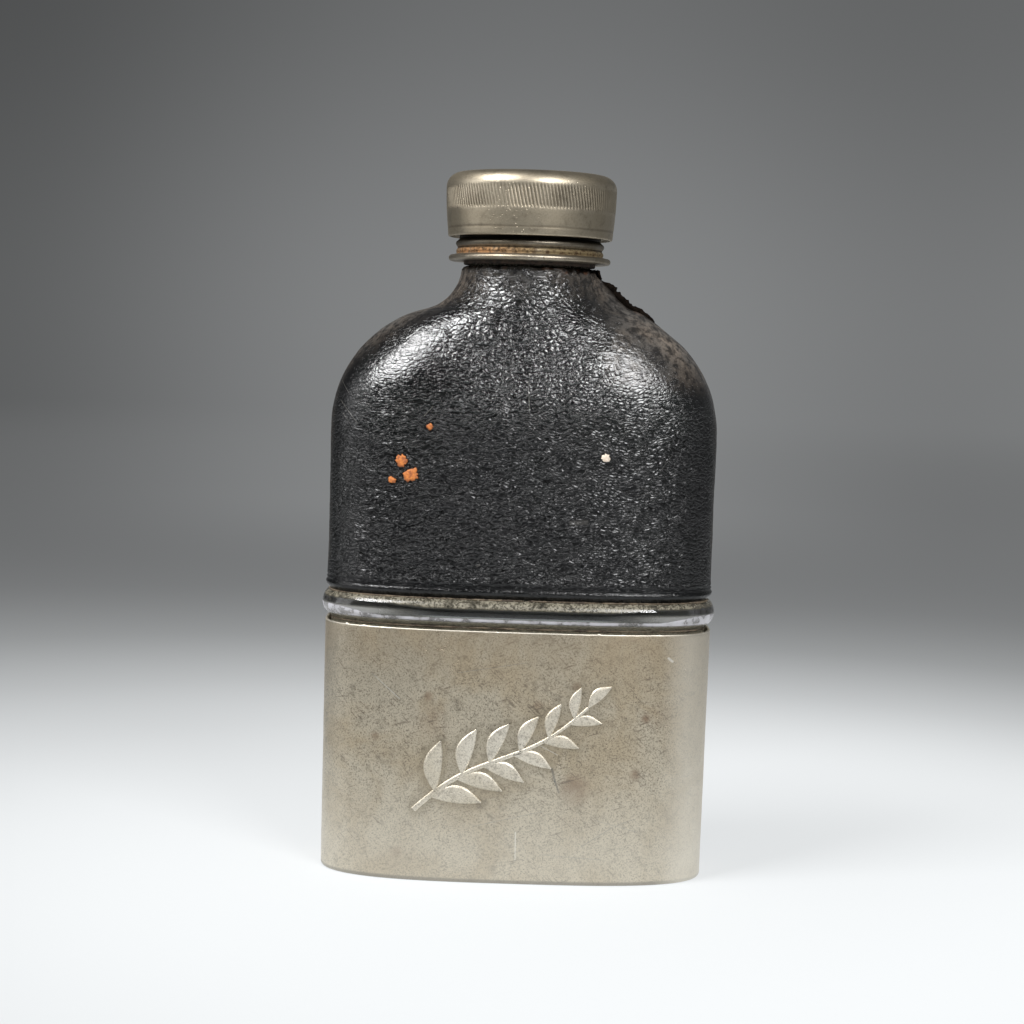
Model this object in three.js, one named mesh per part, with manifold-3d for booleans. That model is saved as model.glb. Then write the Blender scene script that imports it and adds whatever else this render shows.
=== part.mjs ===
// A pocket hip flask: a flat oval glass bottle with a leather-covered upper half, a threaded metal
// neck collar set in cement, a two-shell screw cap with a cork disc, and a pull-off drinking cup
// that sheathes the lower half of the glass.
//
// Millimetres, +Z up. The origin is the centre of the cup's base, where the flask stands. X runs
// across the wide face and Y through the thickness, so the front of the flask faces -Y.

import * as THREE from "three";
import { mergeVertices } from "three/addons/utils/BufferGeometryUtils.js";
import Module from "manifold-3d";

const wasm = await Module();
wasm.setup();

// ---------------------------------------------------------------- driving dimensions

const AROUND = 40; // facets round every ring
const BODY_SQUARENESS = 3; // superellipse exponent of the body's section: 2 is an ellipse
const ROUND = 2; // exponent of a round or elliptical section

// Drinking cup: a drawn wall with a base plate soldered inside its foot.
const CUP_HEIGHT = 52.8;
const CUP_RIM = { width: 41.0, depth: 18.5 }; // half width and half depth, outside
const CUP_FOOT = { width: 40.7, depth: 18.3 };
const CUP_WALL = 0.6;
const CUP_FOOT_EDGE = 0.5; // rounding where the wall meets the table
const PLATE_THICKNESS = 0.9;
const PLATE_GAP = 0.15; // solder line between plate and wall

// Body outline, measured on the outside of the leather.
const BODY = { width: 40.9, depth: 18.4 };
const NECK_RADIUS = 14.4;
const SHOULDER_RADIUS = 25.6; // convex arc in the front view
const SHOULDER_START = 94; // height where the straight side ends
const NECK_FILLET = 9.5; // concave arc between shoulder and neck
const DEPTH_TAPER = { from: 98, to: 125 }; // heights between which the thickness shrinks to the neck
const ROUNDING = { from: 101, to: 122 }; // heights between which the section turns round

// Leather cover: a front and a back panel, glued to the glass and meeting along both sides.
const LEATHER_THICKNESS = 1.0;
const LEATHER_BOTTOM = 59.3;
const LEATHER_TOP = 127.9;
const GLUE_LINE = 0.1;
const SEAM_GAP = 0.3;

// Glass bottle.
const GLASS_INSET = LEATHER_THICKNESS + GLUE_LINE;
const GLASS_WALL = 3.2;
const GLASS_BOTTOM = 6.2; // the ring would meet the rim before the glass met the base plate
const GLASS_FLOOR = 11.4; // inside, where the liquid stands
const GLASS_HEEL_RADIUS = 4.5;
const GLASS_FLOOR_RADIUS = 5;
const BEAD = { low: 53.9, crest: 56.4, high: 59.1, stands: 1.85 }; // moulded ring above the cup
const GLASS_NECK_RADIUS = 12.0;
const GLASS_BORE_RADIUS = 8.5;
const GLASS_LIP = 142.7;

// Neck collar: spun sheet with a foot flange, a bead and a rolled thread.
const COLLAR = { bottom: 128.9, top: 143.4, inner: 14.1, outer: 14.9, sheet: 0.5, mouth: 11.0 };
const FLANGE = { radius: 17.1, thickness: 1.4 };
const COLLAR_BAND = { crest: 130.9, radius: 15.55 };
const COLLAR_BEAD = { low: 131.7, crest: 132.6, high: 133.5, radius: 15.7 };
const THREAD_PITCH = 3;
const THREAD_HEIGHT = 0.7;
const THREAD = { start: 136, turns: 2, rootHalf: 0.8, crestHalf: 0.35 };

// Cement between collar and glass neck.
const CEMENT = { bottom: 128.2, top: 142.6, inner: 12.2, outer: 13.9, slope: 0.9 };

// Screw cap: an outer shell, a threaded liner pressed into it and a cork disc.
const CAP = { bottom: 134.0, top: 147.9, sheet: 0.5, mouth: 17.3, belly: 17.95, corner: 3, dome: 0.5 };
const CAP_LINER = { bottom: 134.4, top: 146.1, inner: 15.9, outer: 16.4, sheet: 0.5 };
const LINER_THREAD_TURNS = 1.5;
const CORK = { bottom: 143.6, top: 145.4, radius: 15.2 };

// ---------------------------------------------------------------- sections and outlines

const smooth = ({ from, to }, z) => THREE.MathUtils.smoothstep(z, from, to);

// Half depth and squareness of the body at a height, for a surface inset from the leather's face.
function bodyRing(width, z, inset) {
  const depth = THREE.MathUtils.lerp(BODY.depth, NECK_RADIUS, smooth(DEPTH_TAPER, z)) - inset;
  const power = THREE.MathUtils.lerp(BODY_SQUARENESS, ROUND, smooth(ROUNDING, z));
  return { width, depth, z, power };
}

// The rings of the shoulder and neck, from the straight side up to `top`, inset by `inset`.
function shoulderRings(inset, top, arcSteps, filletSteps) {
  const arcX = BODY.width - SHOULDER_RADIUS;
  const filletX = NECK_RADIUS + NECK_FILLET;
  const between = SHOULDER_RADIUS + NECK_FILLET;
  const filletZ = SHOULDER_START + Math.sqrt(between ** 2 - (filletX - arcX) ** 2);
  const joint = Math.atan2(filletZ - SHOULDER_START, filletX - arcX); // where the two arcs touch
  const rings = [];
  for (let i = 0; i <= arcSteps; i++) {
    const angle = (joint * i) / arcSteps;
    const radius = SHOULDER_RADIUS - inset;
    const z = SHOULDER_START + radius * Math.sin(angle);
    rings.push(bodyRing(arcX + radius * Math.cos(angle), z, inset));
  }
  for (let i = 1; i <= filletSteps; i++) {
    const angle = Math.PI + joint * (1 - i / filletSteps);
    const radius = NECK_FILLET + inset;
    const z = filletZ + radius * Math.sin(angle);
    rings.push(bodyRing(filletX + radius * Math.cos(angle), z, inset));
  }
  const below = rings.filter((ring) => ring.z < top - 0.4);
  return [...below, bodyRing(NECK_RADIUS - inset, top, inset)];
}

const roundRing = (radius, z) => ({ width: radius, depth: radius, z, power: ROUND });
const axisPoint = (z) => roundRing(0, z);
const bodyShape = ({ width, depth }, z) => ({ width, depth, z, power: BODY_SQUARENESS });
const inset = ({ width, depth }, by) => ({ width: width - by, depth: depth - by });

// A quarter round between two rings of the body: `turn` is 0 at the flat end and 1 at the upright end.
function heelRings(shape, z, radius, steps) {
  const rings = [];
  for (let i = 0; i <= steps; i++) {
    const turn = (Math.PI / 2) * (i / steps);
    const by = radius * (1 - Math.sin(turn));
    rings.push(bodyShape(inset(shape, by), z + radius * (1 - Math.cos(turn))));
  }
  return rings;
}

// Turns a list of rings into a closed surface: a lathe whose rings are squeezed to superellipses.
function ringGeometry(rings) {
  const outline = rings.map((ring) => new THREE.Vector2(ring.width, ring.z));
  const geometry = new THREE.LatheGeometry(outline, AROUND);
  geometry.rotateX(Math.PI / 2);
  const position = geometry.getAttribute("position");
  for (let i = 0; i < position.count; i++) {
    const ring = rings[i % rings.length];
    const angle = (2 * Math.PI * Math.floor(i / rings.length)) / AROUND;
    const [across, through] = [Math.sin(angle), -Math.cos(angle)];
    const sum = Math.abs(across) ** ring.power + Math.abs(through) ** ring.power;
    const stretch = sum ** (-1 / ring.power);
    position.setXYZ(i, ring.width * across * stretch, ring.depth * through * stretch, ring.z);
  }
  return geometry;
}

// A round part from [radius, height] pairs.
const latheGeometry = (pairs) => ringGeometry(pairs.map(([radius, z]) => roundRing(radius, z)));

// A straight bar of trapezoid section, wound round the axis as a screw thread. `height` is positive
// for a thread that stands out of its wall and negative for one that stands in.
function threadGeometry({ wall, height, start, turns, startTurn }) {
  const steps = Math.round(AROUND * turns);
  const bar = new THREE.BoxGeometry(turns, 1, 1, steps, 1, 1);
  const position = bar.getAttribute("position");
  const bury = -0.25 * Math.sign(height); // sinks the root into the wall
  for (let i = 0; i < position.count; i++) {
    const along = position.getX(i) + turns / 2;
    const crest = position.getY(i) > 0;
    const side = Math.sign(position.getZ(i));
    const run = Math.min(along, turns - along) / 0.125; // the ends taper over an eighth of a turn
    const fade = THREE.MathUtils.clamp(run, 0.2, 1);
    const radius = wall + (crest ? height * fade : bury);
    const half = (crest ? THREAD.crestHalf : THREAD.rootHalf) * fade;
    const angle = 2 * Math.PI * (startTurn + along);
    const z = start + THREAD_PITCH * along + side * half;
    position.setXYZ(i, radius * Math.cos(angle), radius * Math.sin(angle), z);
  }
  if (height > 0) flip(bar);
  return bar;
}

// Reverses every face of a geometry.
function flip(geometry) {
  const index = geometry.getIndex();
  for (let i = 0; i < index.count; i += 3) {
    const first = index.getX(i);
    index.setX(i, index.getX(i + 2));
    index.setX(i + 2, first);
  }
}

// ---------------------------------------------------------------- booleans

function solidOf(geometry) {
  const bare = geometry.clone();
  bare.deleteAttribute("normal");
  bare.deleteAttribute("uv");
  const merged = mergeVertices(bare, 1e-4);
  return new wasm.Manifold(
    new wasm.Mesh({
      numProp: 3,
      vertProperties: merged.getAttribute("position").array,
      triVerts: new Uint32Array(merged.getIndex().array),
    }),
  );
}

function geometryOf(solid) {
  const mesh = solid.getMesh();
  const geometry = new THREE.BufferGeometry();
  geometry.setAttribute("position", new THREE.BufferAttribute(mesh.vertProperties, 3));
  geometry.setIndex(new THREE.BufferAttribute(mesh.triVerts, 1));
  geometry.computeVertexNormals();
  return geometry;
}

// ---------------------------------------------------------------- materials

const finish = (color, roughness, metalness) =>
  new THREE.MeshStandardMaterial({ color, roughness, metalness });

const PEWTER_GREY = finish(0xa39a86, 0.42, 1);
const CAP_GREY = finish(0x8c8472, 0.36, 1);
const GLASS = new THREE.MeshStandardMaterial({
  color: 0xdfe6e2,
  roughness: 0.05,
  metalness: 0,
  transparent: true,
  opacity: 0.35,
});
const BLACK_LEATHER = finish(0x1b1b1c, 0.45, 0);
const CEMENT_BROWN = finish(0x3a2a22, 0.9, 0);
const CORK_TAN = finish(0xa9794a, 0.85, 0);

// ---------------------------------------------------------------- pieces

// The side wall of the cup, open at the rim and at the foot.
function cupWall() {
  const rimInside = inset(CUP_RIM, CUP_WALL);
  const footInside = inset(CUP_FOOT, CUP_WALL);
  return ringGeometry([
    bodyShape(footInside, 0),
    bodyShape(inset(CUP_FOOT, CUP_FOOT_EDGE), 0),
    bodyShape(CUP_FOOT, CUP_FOOT_EDGE),
    bodyShape(CUP_RIM, CUP_HEIGHT),
    bodyShape(rimInside, CUP_HEIGHT),
    bodyShape(footInside, 0),
  ]);
}

// The flat floor of the cup, soldered inside the foot of the wall.
function cupBasePlate() {
  const edge = inset(CUP_FOOT, CUP_WALL + PLATE_GAP);
  return ringGeometry([
    axisPoint(0),
    bodyShape(edge, 0),
    bodyShape(edge, PLATE_THICKNESS),
    axisPoint(PLATE_THICKNESS),
  ]);
}

function glassBottle() {
  const shape = inset(BODY, GLASS_INSET);
  const cavity = inset(shape, GLASS_WALL);
  const bead = (share, z) => bodyShape(inset(shape, -BEAD.stands * share), z);
  const outside = [
    axisPoint(GLASS_BOTTOM),
    ...heelRings(shape, GLASS_BOTTOM, GLASS_HEEL_RADIUS, 3),
    bead(0, BEAD.low),
    bead(0.75, THREE.MathUtils.lerp(BEAD.low, BEAD.crest, 0.4)),
    bead(1, BEAD.crest),
    bead(0.75, THREE.MathUtils.lerp(BEAD.high, BEAD.crest, 0.4)),
    bead(0, BEAD.high),
    ...shoulderRings(GLASS_INSET, LEATHER_TOP - 0.3, 6, 4),
    roundRing(GLASS_NECK_RADIUS, LEATHER_TOP + 1),
    roundRing(GLASS_NECK_RADIUS, GLASS_LIP),
  ];
  const inside = [
    axisPoint(GLASS_FLOOR),
    ...heelRings(cavity, GLASS_FLOOR, GLASS_FLOOR_RADIUS, 3),
    ...shoulderRings(GLASS_INSET + GLASS_WALL, LEATHER_TOP, 5, 3),
    roundRing(GLASS_BORE_RADIUS, LEATHER_TOP + 2),
    roundRing(GLASS_BORE_RADIUS, GLASS_LIP),
  ];
  return ringGeometry([...outside, ...inside.reverse()]);
}

// The whole leather sleeve as one tube, before it is parted along the sides.
function leatherSleeve() {
  const outer = [
    bodyRing(BODY.width, LEATHER_BOTTOM, 0),
    ...shoulderRings(0, LEATHER_TOP, 6, 4),
  ];
  const inner = [
    bodyRing(BODY.width - LEATHER_THICKNESS, LEATHER_BOTTOM, LEATHER_THICKNESS),
    ...shoulderRings(LEATHER_THICKNESS, LEATHER_TOP, 6, 4),
  ];
  return ringGeometry([...outer, ...inner.reverse(), outer[0]]);
}

// One half of the sleeve: side is -1 for the front panel and 1 for the back.
function leatherPanel(side) {
  const reach = 2 * BODY.width;
  const half = new THREE.BoxGeometry(2 * reach, reach, 2 * reach);
  half.translate(0, side * (reach / 2 + SEAM_GAP / 2), reach);
  return geometryOf(solidOf(leatherSleeve()).intersect(solidOf(half)));
}

// A ring of cement whose foot slopes up to the narrower glass neck.
function collarCement() {
  const { bottom, top, inner, outer, slope } = CEMENT;
  return latheGeometry([
    [inner, bottom + slope],
    [outer, bottom],
    [outer, top],
    [inner, top],
    [inner, bottom + slope],
  ]);
}

// Spun collar: flange, bead, threaded tube and a lip turned in over the cement.
function neckCollar() {
  const { bottom, top, inner, outer, sheet, mouth } = COLLAR;
  const flangeTop = bottom + FLANGE.thickness;
  const tube = latheGeometry([
    [inner, bottom],
    [FLANGE.radius - 0.4, bottom],
    [FLANGE.radius, bottom + 0.45 * FLANGE.thickness],
    [FLANGE.radius - 0.5, bottom + 0.85 * FLANGE.thickness],
    [outer + 0.4, flangeTop],
    [COLLAR_BAND.radius, COLLAR_BAND.crest],
    [outer + 0.3, COLLAR_BEAD.low],
    [COLLAR_BEAD.radius, COLLAR_BEAD.crest],
    [outer, COLLAR_BEAD.high],
    [outer, top - 0.4],
    [outer - 0.4, top],
    [mouth, top],
    [mouth, top - sheet],
    [inner, top - sheet],
    [inner, bottom],
  ]);
  const thread = threadGeometry({
    wall: outer,
    height: THREAD_HEIGHT,
    start: THREAD.start,
    turns: THREAD.turns,
    startTurn: 0,
  });
  return geometryOf(solidOf(tube).add(solidOf(thread)));
}

// Outer shell of the cap: a slightly barrelled wall, a rounded corner and a low dome.
function capShell() {
  const { bottom, top, sheet, mouth, belly, corner, dome } = CAP;
  const wallTop = top - dome - corner; // where the wall turns into the corner
  const profile = (by) => {
    const points = [];
    for (const share of [0, 0.25, 0.5, 0.75]) {
      const z = THREE.MathUtils.lerp(bottom, wallTop, share);
      points.push([THREE.MathUtils.lerp(mouth, belly, Math.sin((Math.PI / 2) * share)) - by, z]);
    }
    for (let i = 0; i <= 4; i++) {
      const turn = (Math.PI / 2) * (i / 4);
      const radius = corner - by;
      points.push([belly - corner + radius * Math.cos(turn), wallTop + radius * Math.sin(turn)]);
    }
    return [...points, [belly / 2, top - dome / 4 - by], [0, top - by]];
  };
  return latheGeometry([...profile(sheet).reverse(), ...profile(0)]);
}

// Threaded liner: a tube closed at the top, with the mating thread inside.
function capThreadLiner() {
  const { bottom, top, inner, outer, sheet } = CAP_LINER;
  const shell = latheGeometry([
    [0, top - sheet],
    [inner, top - sheet],
    [inner, bottom],
    [outer, bottom],
    [outer, top - 0.6],
    [outer - 0.6, top],
    [0, top],
  ]);
  const thread = threadGeometry({
    wall: inner,
    height: -THREAD_HEIGHT,
    start: THREAD.start + THREAD_PITCH / 2 - THREAD_PITCH / 3,
    turns: LINER_THREAD_TURNS,
    startTurn: -1 / 3,
  });
  return geometryOf(solidOf(shell).add(solidOf(thread)));
}

function capCorkDisc() {
  return latheGeometry([
    [0, CORK.bottom],
    [CORK.radius, CORK.bottom],
    [CORK.radius, CORK.top],
    [0, CORK.top],
  ]);
}

// ---------------------------------------------------------------- assembly

function piece(name, geometry, material) {
  const mesh = new THREE.Mesh(geometry, material);
  mesh.name = name;
  return mesh;
}

function assembly(...pieces) {
  const group = new THREE.Group();
  group.add(...pieces);
  return group;
}

const cup = assembly(
  piece("cup_wall", cupWall(), PEWTER_GREY),
  piece("cup_base_plate", cupBasePlate(), PEWTER_GREY),
);
const bottle = assembly(
  piece("glass_bottle", glassBottle(), GLASS),
  piece("leather_front_panel", leatherPanel(-1), BLACK_LEATHER),
  piece("leather_back_panel", leatherPanel(1), BLACK_LEATHER),
  piece("neck_collar", neckCollar(), PEWTER_GREY),
  piece("collar_cement", collarCement(), CEMENT_BROWN),
);
const cap = assembly(
  piece("cap_cork_disc", capCorkDisc(), CORK_TAN),
  piece("cap_thread_liner", capThreadLiner(), CAP_GREY),
  piece("cap_shell", capShell(), CAP_GREY),
);

const hipFlask = assembly(cup, bottle, cap);

export default hipFlask;
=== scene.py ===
"""The looks of a hip flask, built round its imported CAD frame.

Every visible piece is rebuilt here as a fine mesh in the place of its CAD solid: the worn plated
cup with its raised sprig, the old glass bottle with its moulded ring, the two pebbled leather
panels with their torn seam, the threaded collar and the reeded cap. Lengths are in millimetres
until a mesh is made, which turns them into metres.
"""

import functools
import math

import bmesh
import bpy
import numpy as np
from mathutils import Matrix, Vector, noise


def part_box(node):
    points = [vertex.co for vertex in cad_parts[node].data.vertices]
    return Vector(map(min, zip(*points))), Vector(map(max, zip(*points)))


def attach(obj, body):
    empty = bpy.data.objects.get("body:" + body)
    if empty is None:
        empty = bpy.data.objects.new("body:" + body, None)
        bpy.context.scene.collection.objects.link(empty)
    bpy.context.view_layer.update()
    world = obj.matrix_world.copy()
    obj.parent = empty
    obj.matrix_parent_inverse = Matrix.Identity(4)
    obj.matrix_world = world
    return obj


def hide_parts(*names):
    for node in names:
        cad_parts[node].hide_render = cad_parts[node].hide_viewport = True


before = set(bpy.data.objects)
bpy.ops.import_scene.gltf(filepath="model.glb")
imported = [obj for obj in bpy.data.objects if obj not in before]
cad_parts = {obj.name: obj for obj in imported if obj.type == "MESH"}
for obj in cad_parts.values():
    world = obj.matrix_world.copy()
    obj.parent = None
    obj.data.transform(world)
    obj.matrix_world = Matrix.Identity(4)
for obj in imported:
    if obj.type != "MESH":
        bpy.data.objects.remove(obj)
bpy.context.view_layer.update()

MM = 0.001
TURN = 2 * math.pi


# ------------------------------------------------------------------ sizes, from the frame

def box_mm(node):
    """Lowest and highest corner of a CAD node, in millimetres."""
    low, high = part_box(node)
    return np.array(low) / MM, np.array(high) / MM


cup_high = box_mm("cup_wall")[1]
plate_high = box_mm("cup_base_plate")[1]
glass_low, glass_high = box_mm("glass_bottle")
front_low, front_high = box_mm("leather_front_panel")
collar_low, collar_high = box_mm("neck_collar")
cement_low, cement_high = box_mm("collar_cement")
cap_low, cap_high = box_mm("cap_shell")
liner_low, liner_high = box_mm("cap_thread_liner")
cork_low, cork_high = box_mm("cap_cork_disc")

SQUARENESS = 3.0  # superellipse exponent of the body's section
ROUND = 2.0

CUP_RIM = (cup_high[0], cup_high[1])
CUP_FOOT = (CUP_RIM[0] - 0.3, CUP_RIM[1] - 0.2)
CUP_HEIGHT = cup_high[2]
CUP_WALL = 0.6
FOOT_ROUNDING = 0.5

BODY = (front_high[0], -front_low[1])
LEATHER_LOW = front_low[2]
LEATHER_TOP = front_high[2]
LEATHER_THICKNESS = 1.0
SEAM_HALF_GAP = 0.15
NECK_RADIUS = 14.4
SHOULDER_RADIUS = 25.6
SHOULDER_START = 94.0
NECK_FILLET = 9.5
DEPTH_TAPER = (98.0, 125.0)
ROUNDING = (101.0, 122.0)

GLASS_INSET = 1.1
GLASS_WALL = 3.2
GLASS_HEEL = 4.5
GLASS_FLOOR = glass_low[2] + 5.2
GLASS_NECK = 12.0
GLASS_BORE = 8.5
BEAD = (53.9, 59.1)  # heights between which the moulded ring stands out
BEAD_STANDS = glass_high[0] - (BODY[0] - GLASS_INSET) - 0.01

THREAD_PITCH = 3.0
THREAD_HEIGHT = 0.7
THREAD_START = 136.0
CAP_MOUTH = 17.3
CAP_BELLY = cap_high[0]
CAP_CORNER = 3.0
CAP_DOME = 0.5
CAP_SHEET = 0.5


# ------------------------------------------------------------------ outlines and sections

def smooth(low, high, value):
    """0 below low, 1 above high, and a smooth step between."""
    share = np.clip((value - low) / (high - low), 0, 1)
    return share * share * (3 - 2 * share)


def hump(low, high, value):
    """1 halfway between low and high, falling smoothly to 0 at both."""
    return smooth(low, (low + high) / 2, value) * (1 - smooth((low + high) / 2, high, value))


def wander(points, size, seed=0):
    """Smooth noise, about -1 to 1, at points in millimetres; size is the width of its swells."""
    spot = points / size + seed * 17.3
    return np.array([noise.noise(p) for p in spot.tolist()])


def length_along(points):
    """The length of a line of points up to each of them."""
    return np.concatenate([[0], np.cumsum(np.linalg.norm(np.diff(points, axis=0), axis=1))])


def read_off(where, length, points):
    """(x, z) points of a line at other lengths along it."""
    return np.stack([np.interp(where, length, points[:, k]) for k in (0, 1)], 1)


def unit(vectors):
    """Vectors made one unit long."""
    return vectors / np.linalg.norm(vectors, axis=-1, keepdims=True)


def full_turn(count):
    """count even angles of a round part."""
    return np.linspace(0, TURN, count + 1)[:-1]


def oval(shape, inset, z):
    """A ring of the body's squared section, inset from a (half width, half depth)."""
    return (shape[0] - inset, shape[1] - inset, z, SQUARENESS)


def resample(stops, step):
    """Points along a polyline, at most step apart."""
    stops = np.asarray(stops, float)
    out = [stops[:1]]
    for a, b in zip(stops, stops[1:]):
        pieces = max(1, math.ceil(np.linalg.norm(b[[0, 2]] - a[[0, 2]]) / step))
        out.append(a + (b - a) * np.linspace(0, 1, pieces + 1)[1:, None])
    return np.concatenate(out)


def body_rings(outline, inset):
    """Rings (half width, half depth, height, squareness) of the body for (half width, height) pairs."""
    width, z = np.asarray(outline, float).T
    depth = BODY[1] + (NECK_RADIUS - BODY[1]) * smooth(*DEPTH_TAPER, z) - inset
    power = SQUARENESS + (ROUND - SQUARENESS) * smooth(*ROUNDING, z)
    return np.stack([width, depth, z, power], 1)


def shoulder_outline(inset, low, top, step):
    """Half width and height of the body's side from low to top, inset from the leather's face."""
    arc_x = BODY[0] - SHOULDER_RADIUS
    fillet_x = NECK_RADIUS + NECK_FILLET
    reach = SHOULDER_RADIUS + NECK_FILLET
    fillet_z = SHOULDER_START + math.sqrt(reach ** 2 - (fillet_x - arc_x) ** 2)
    joint = math.atan2(fillet_z - SHOULDER_START, fillet_x - arc_x)
    convex = SHOULDER_RADIUS - inset
    concave = NECK_FILLET + inset
    points = [(BODY[0] - inset, z) for z in np.linspace(low, SHOULDER_START, 40)]
    for angle in np.linspace(0, joint, 60)[1:]:
        points.append((arc_x + convex * math.cos(angle), SHOULDER_START + convex * math.sin(angle)))
    for angle in np.linspace(math.pi + joint, math.pi, 40)[1:]:
        points.append((fillet_x + concave * math.cos(angle), fillet_z + concave * math.sin(angle)))
    points = np.array([p for p in points if p[1] < top - 0.2] + [(NECK_RADIUS - inset, top)])
    length = length_along(points)
    even = np.linspace(0, length[-1], max(2, round(length[-1] / step)) + 1)
    return read_off(even, length, points)


def section(angles, rings):
    """Points of each ring at each angle. Angle 0 is the front, and a quarter turn is the +X side."""
    width, depth, z, power = (rings[:, k, None] for k in range(4))
    across, through = np.sin(angles)[None], -np.cos(angles)[None]
    stretch = (np.abs(across) ** power + np.abs(through) ** power) ** (-1 / power)
    height = z + 0 * across
    return np.stack([width * across * stretch, depth * through * stretch, height], -1)


def even_angles(count, start=0.0, end=TURN, shape=BODY, power=SQUARENESS):
    """count + 1 angles whose points are evenly spaced along a section of that shape."""
    dense = np.linspace(start, end, 4001)
    points = section(dense, np.array([[*shape, 0, power]]))[0]
    length = length_along(points)
    return np.interp(np.linspace(0, length[-1], count + 1), length, dense)


def grid_normals(points, closed):
    """Outward normals of a grid of points (rows going up, columns anticlockwise from above)."""
    if closed:
        around = np.roll(points, -1, 1) - np.roll(points, 1, 1)
    else:
        around = np.gradient(points, axis=1)
    up = np.gradient(points, axis=0)
    normal = np.cross(around, up)
    return normal / np.maximum(np.linalg.norm(normal, axis=-1, keepdims=True), 1e-9)


# ------------------------------------------------------------------ mesh making

def put_in_scene(name, data):
    """Makes an object from its data and links it to the scene."""
    obj = bpy.data.objects.new(name, data)
    bpy.context.scene.collection.objects.link(obj)
    return obj


def add_object(name, points, faces, body, material, replaces=(), attributes=None):
    """A smooth mesh object that rides on a body. points are in millimetres."""
    mesh = bpy.data.meshes.new(name)
    mesh.from_pydata((np.asarray(points, float) * MM).tolist(), [], faces)
    mesh.polygons.foreach_set("use_smooth", [True] * len(mesh.polygons))
    for key, values in (attributes or {}).items():
        layer = mesh.attributes.new(key, "FLOAT", "POINT")
        layer.data.foreach_set("value", np.asarray(values, np.float32).ravel())
    mesh.update()
    obj = put_in_scene(name, mesh)
    mesh.materials.append(material)
    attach(obj, body)
    if replaces:
        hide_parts(*replaces)
    return obj


def grid_faces(rows, columns, closed, first=0):
    """Quads of a grid whose columns may close into a ring."""
    index = first + np.arange(rows * columns).reshape(rows, columns)
    right = np.roll(index, -1, 1) if closed else index[:, 1:]
    left = index if closed else index[:, :-1]
    quads = np.stack([left[:-1], right[:-1], right[1:], left[1:]], -1)
    return quads.reshape(-1, 4).tolist()


POLE_WIDTH = 1e-6  # rings narrower than this, in millimetres, are drawn as one point
WELD_REACH = 1e-7  # vertices nearer than this, in metres, are joined


def turned(name, points, body, material, replaces=(), attributes=None):
    """A closed surface from rings of points. A first or last ring of no width becomes a pole, and
    otherwise the last ring joins the first."""
    rows, columns = points.shape[:2]
    flat = points.reshape(-1, 3)
    faces = grid_faces(rows, columns, True)
    poles = [end for end in (0, rows - 1) if np.ptp(points[end], axis=0).max() < POLE_WIDTH]
    if not poles:
        last = (rows - 1) * columns
        for c in range(columns):
            after = (c + 1) % columns
            faces.append([last + c, last + after, after, c])
    obj = add_object(name, flat, faces, body, material, replaces, attributes)
    if poles:
        weld(obj)
    return obj


def stretch_round(points, stretch):
    """Moves points out from the neck's axis, or in towards it, by a factor at each."""
    points[..., :2] *= stretch[..., None]


def weld(obj):
    """Joins vertices that lie in the same place and drops the faces that this closes up."""
    work = bmesh.new()
    work.from_mesh(obj.data)
    bmesh.ops.remove_doubles(work, verts=work.verts, dist=WELD_REACH)
    work.to_mesh(obj.data)
    work.free()
    obj.data.update()


def quarter(centre_x, centre_z, radius, start, end, count=8):
    """(offset, height) pairs on an arc; angles are in degrees from +X towards +Z."""
    angles = np.radians(np.linspace(start, end, count + 1))
    return [(centre_x + radius * math.cos(a), centre_z + radius * math.sin(a)) for a in angles]


def round_rings(pairs, step):
    """Rings of a round part from (radius, height) pairs, at most step apart."""
    stops = [(r, r, z, ROUND) for r, z in pairs]
    return resample(stops, step)


# ------------------------------------------------------------------ node helpers

class Field:
    """A value, vector or colour that a node tree works out. Arithmetic on it adds a node."""

    def __init__(self, socket):
        self.socket = socket
        self.tree = socket.id_data

    def __add__(self, other):
        return calc("ADD", self, other)

    def __sub__(self, other):
        return calc("SUBTRACT", self, other)

    def __rsub__(self, other):
        return calc("SUBTRACT", other, self)

    def __mul__(self, other):
        return calc("MULTIPLY", self, other)

    def __truediv__(self, other):
        return calc("DIVIDE", self, other)

    def clamped(self):
        """The same value, held between 0 and 1 by the Math node that made it."""
        self.socket.node.use_clamp = True
        return self


def feed(socket, value):
    """Links a field to a socket, or sets the socket to a number, vector or colour."""
    if isinstance(value, Field):
        value.tree.links.new(value.socket, socket)
    elif socket.type == "RGBA":
        socket.default_value = (*value, 1.0)
    else:
        socket.default_value = value


def feed_all(node, inputs):
    """Feeds a node. inputs maps socket names or numbers to fields or values."""
    for key, value in inputs.items():
        feed(node.inputs[key], value)


def add_node(tree, kind, inputs, **settings):
    """Adds a node with its settings, and feeds it."""
    made = tree.nodes.new(kind)
    for key, value in settings.items():
        setattr(made, key, value)
    feed_all(made, inputs)
    return made


def new_field(tree, kind, inputs, output=0, **settings):
    """Adds a node and returns one of its outputs."""
    return Field(add_node(tree, kind, inputs, **settings).outputs[output])


def calc(operation, a, b=0.0):
    """A Math node, or a Vector Math node where either side is a vector or a colour."""
    tree = (a if isinstance(a, Field) else b).tree
    sides = [v.socket.type if isinstance(v, Field) else type(v) for v in (a, b)]
    kind = "ShaderNodeVectorMath" if {"VECTOR", "RGBA", tuple} & set(sides) else "ShaderNodeMath"
    return new_field(tree, kind, {0: a, 1: b}, operation=operation)


def largest(*values):
    """The largest of several numbers or value fields."""
    return functools.reduce(lambda a, b: calc("MAXIMUM", a, b), values)


def length_of(vector):
    """The length of a vector field."""
    return new_field(vector.tree, "ShaderNodeVectorMath", {0: vector}, "Value", operation="LENGTH")


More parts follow.
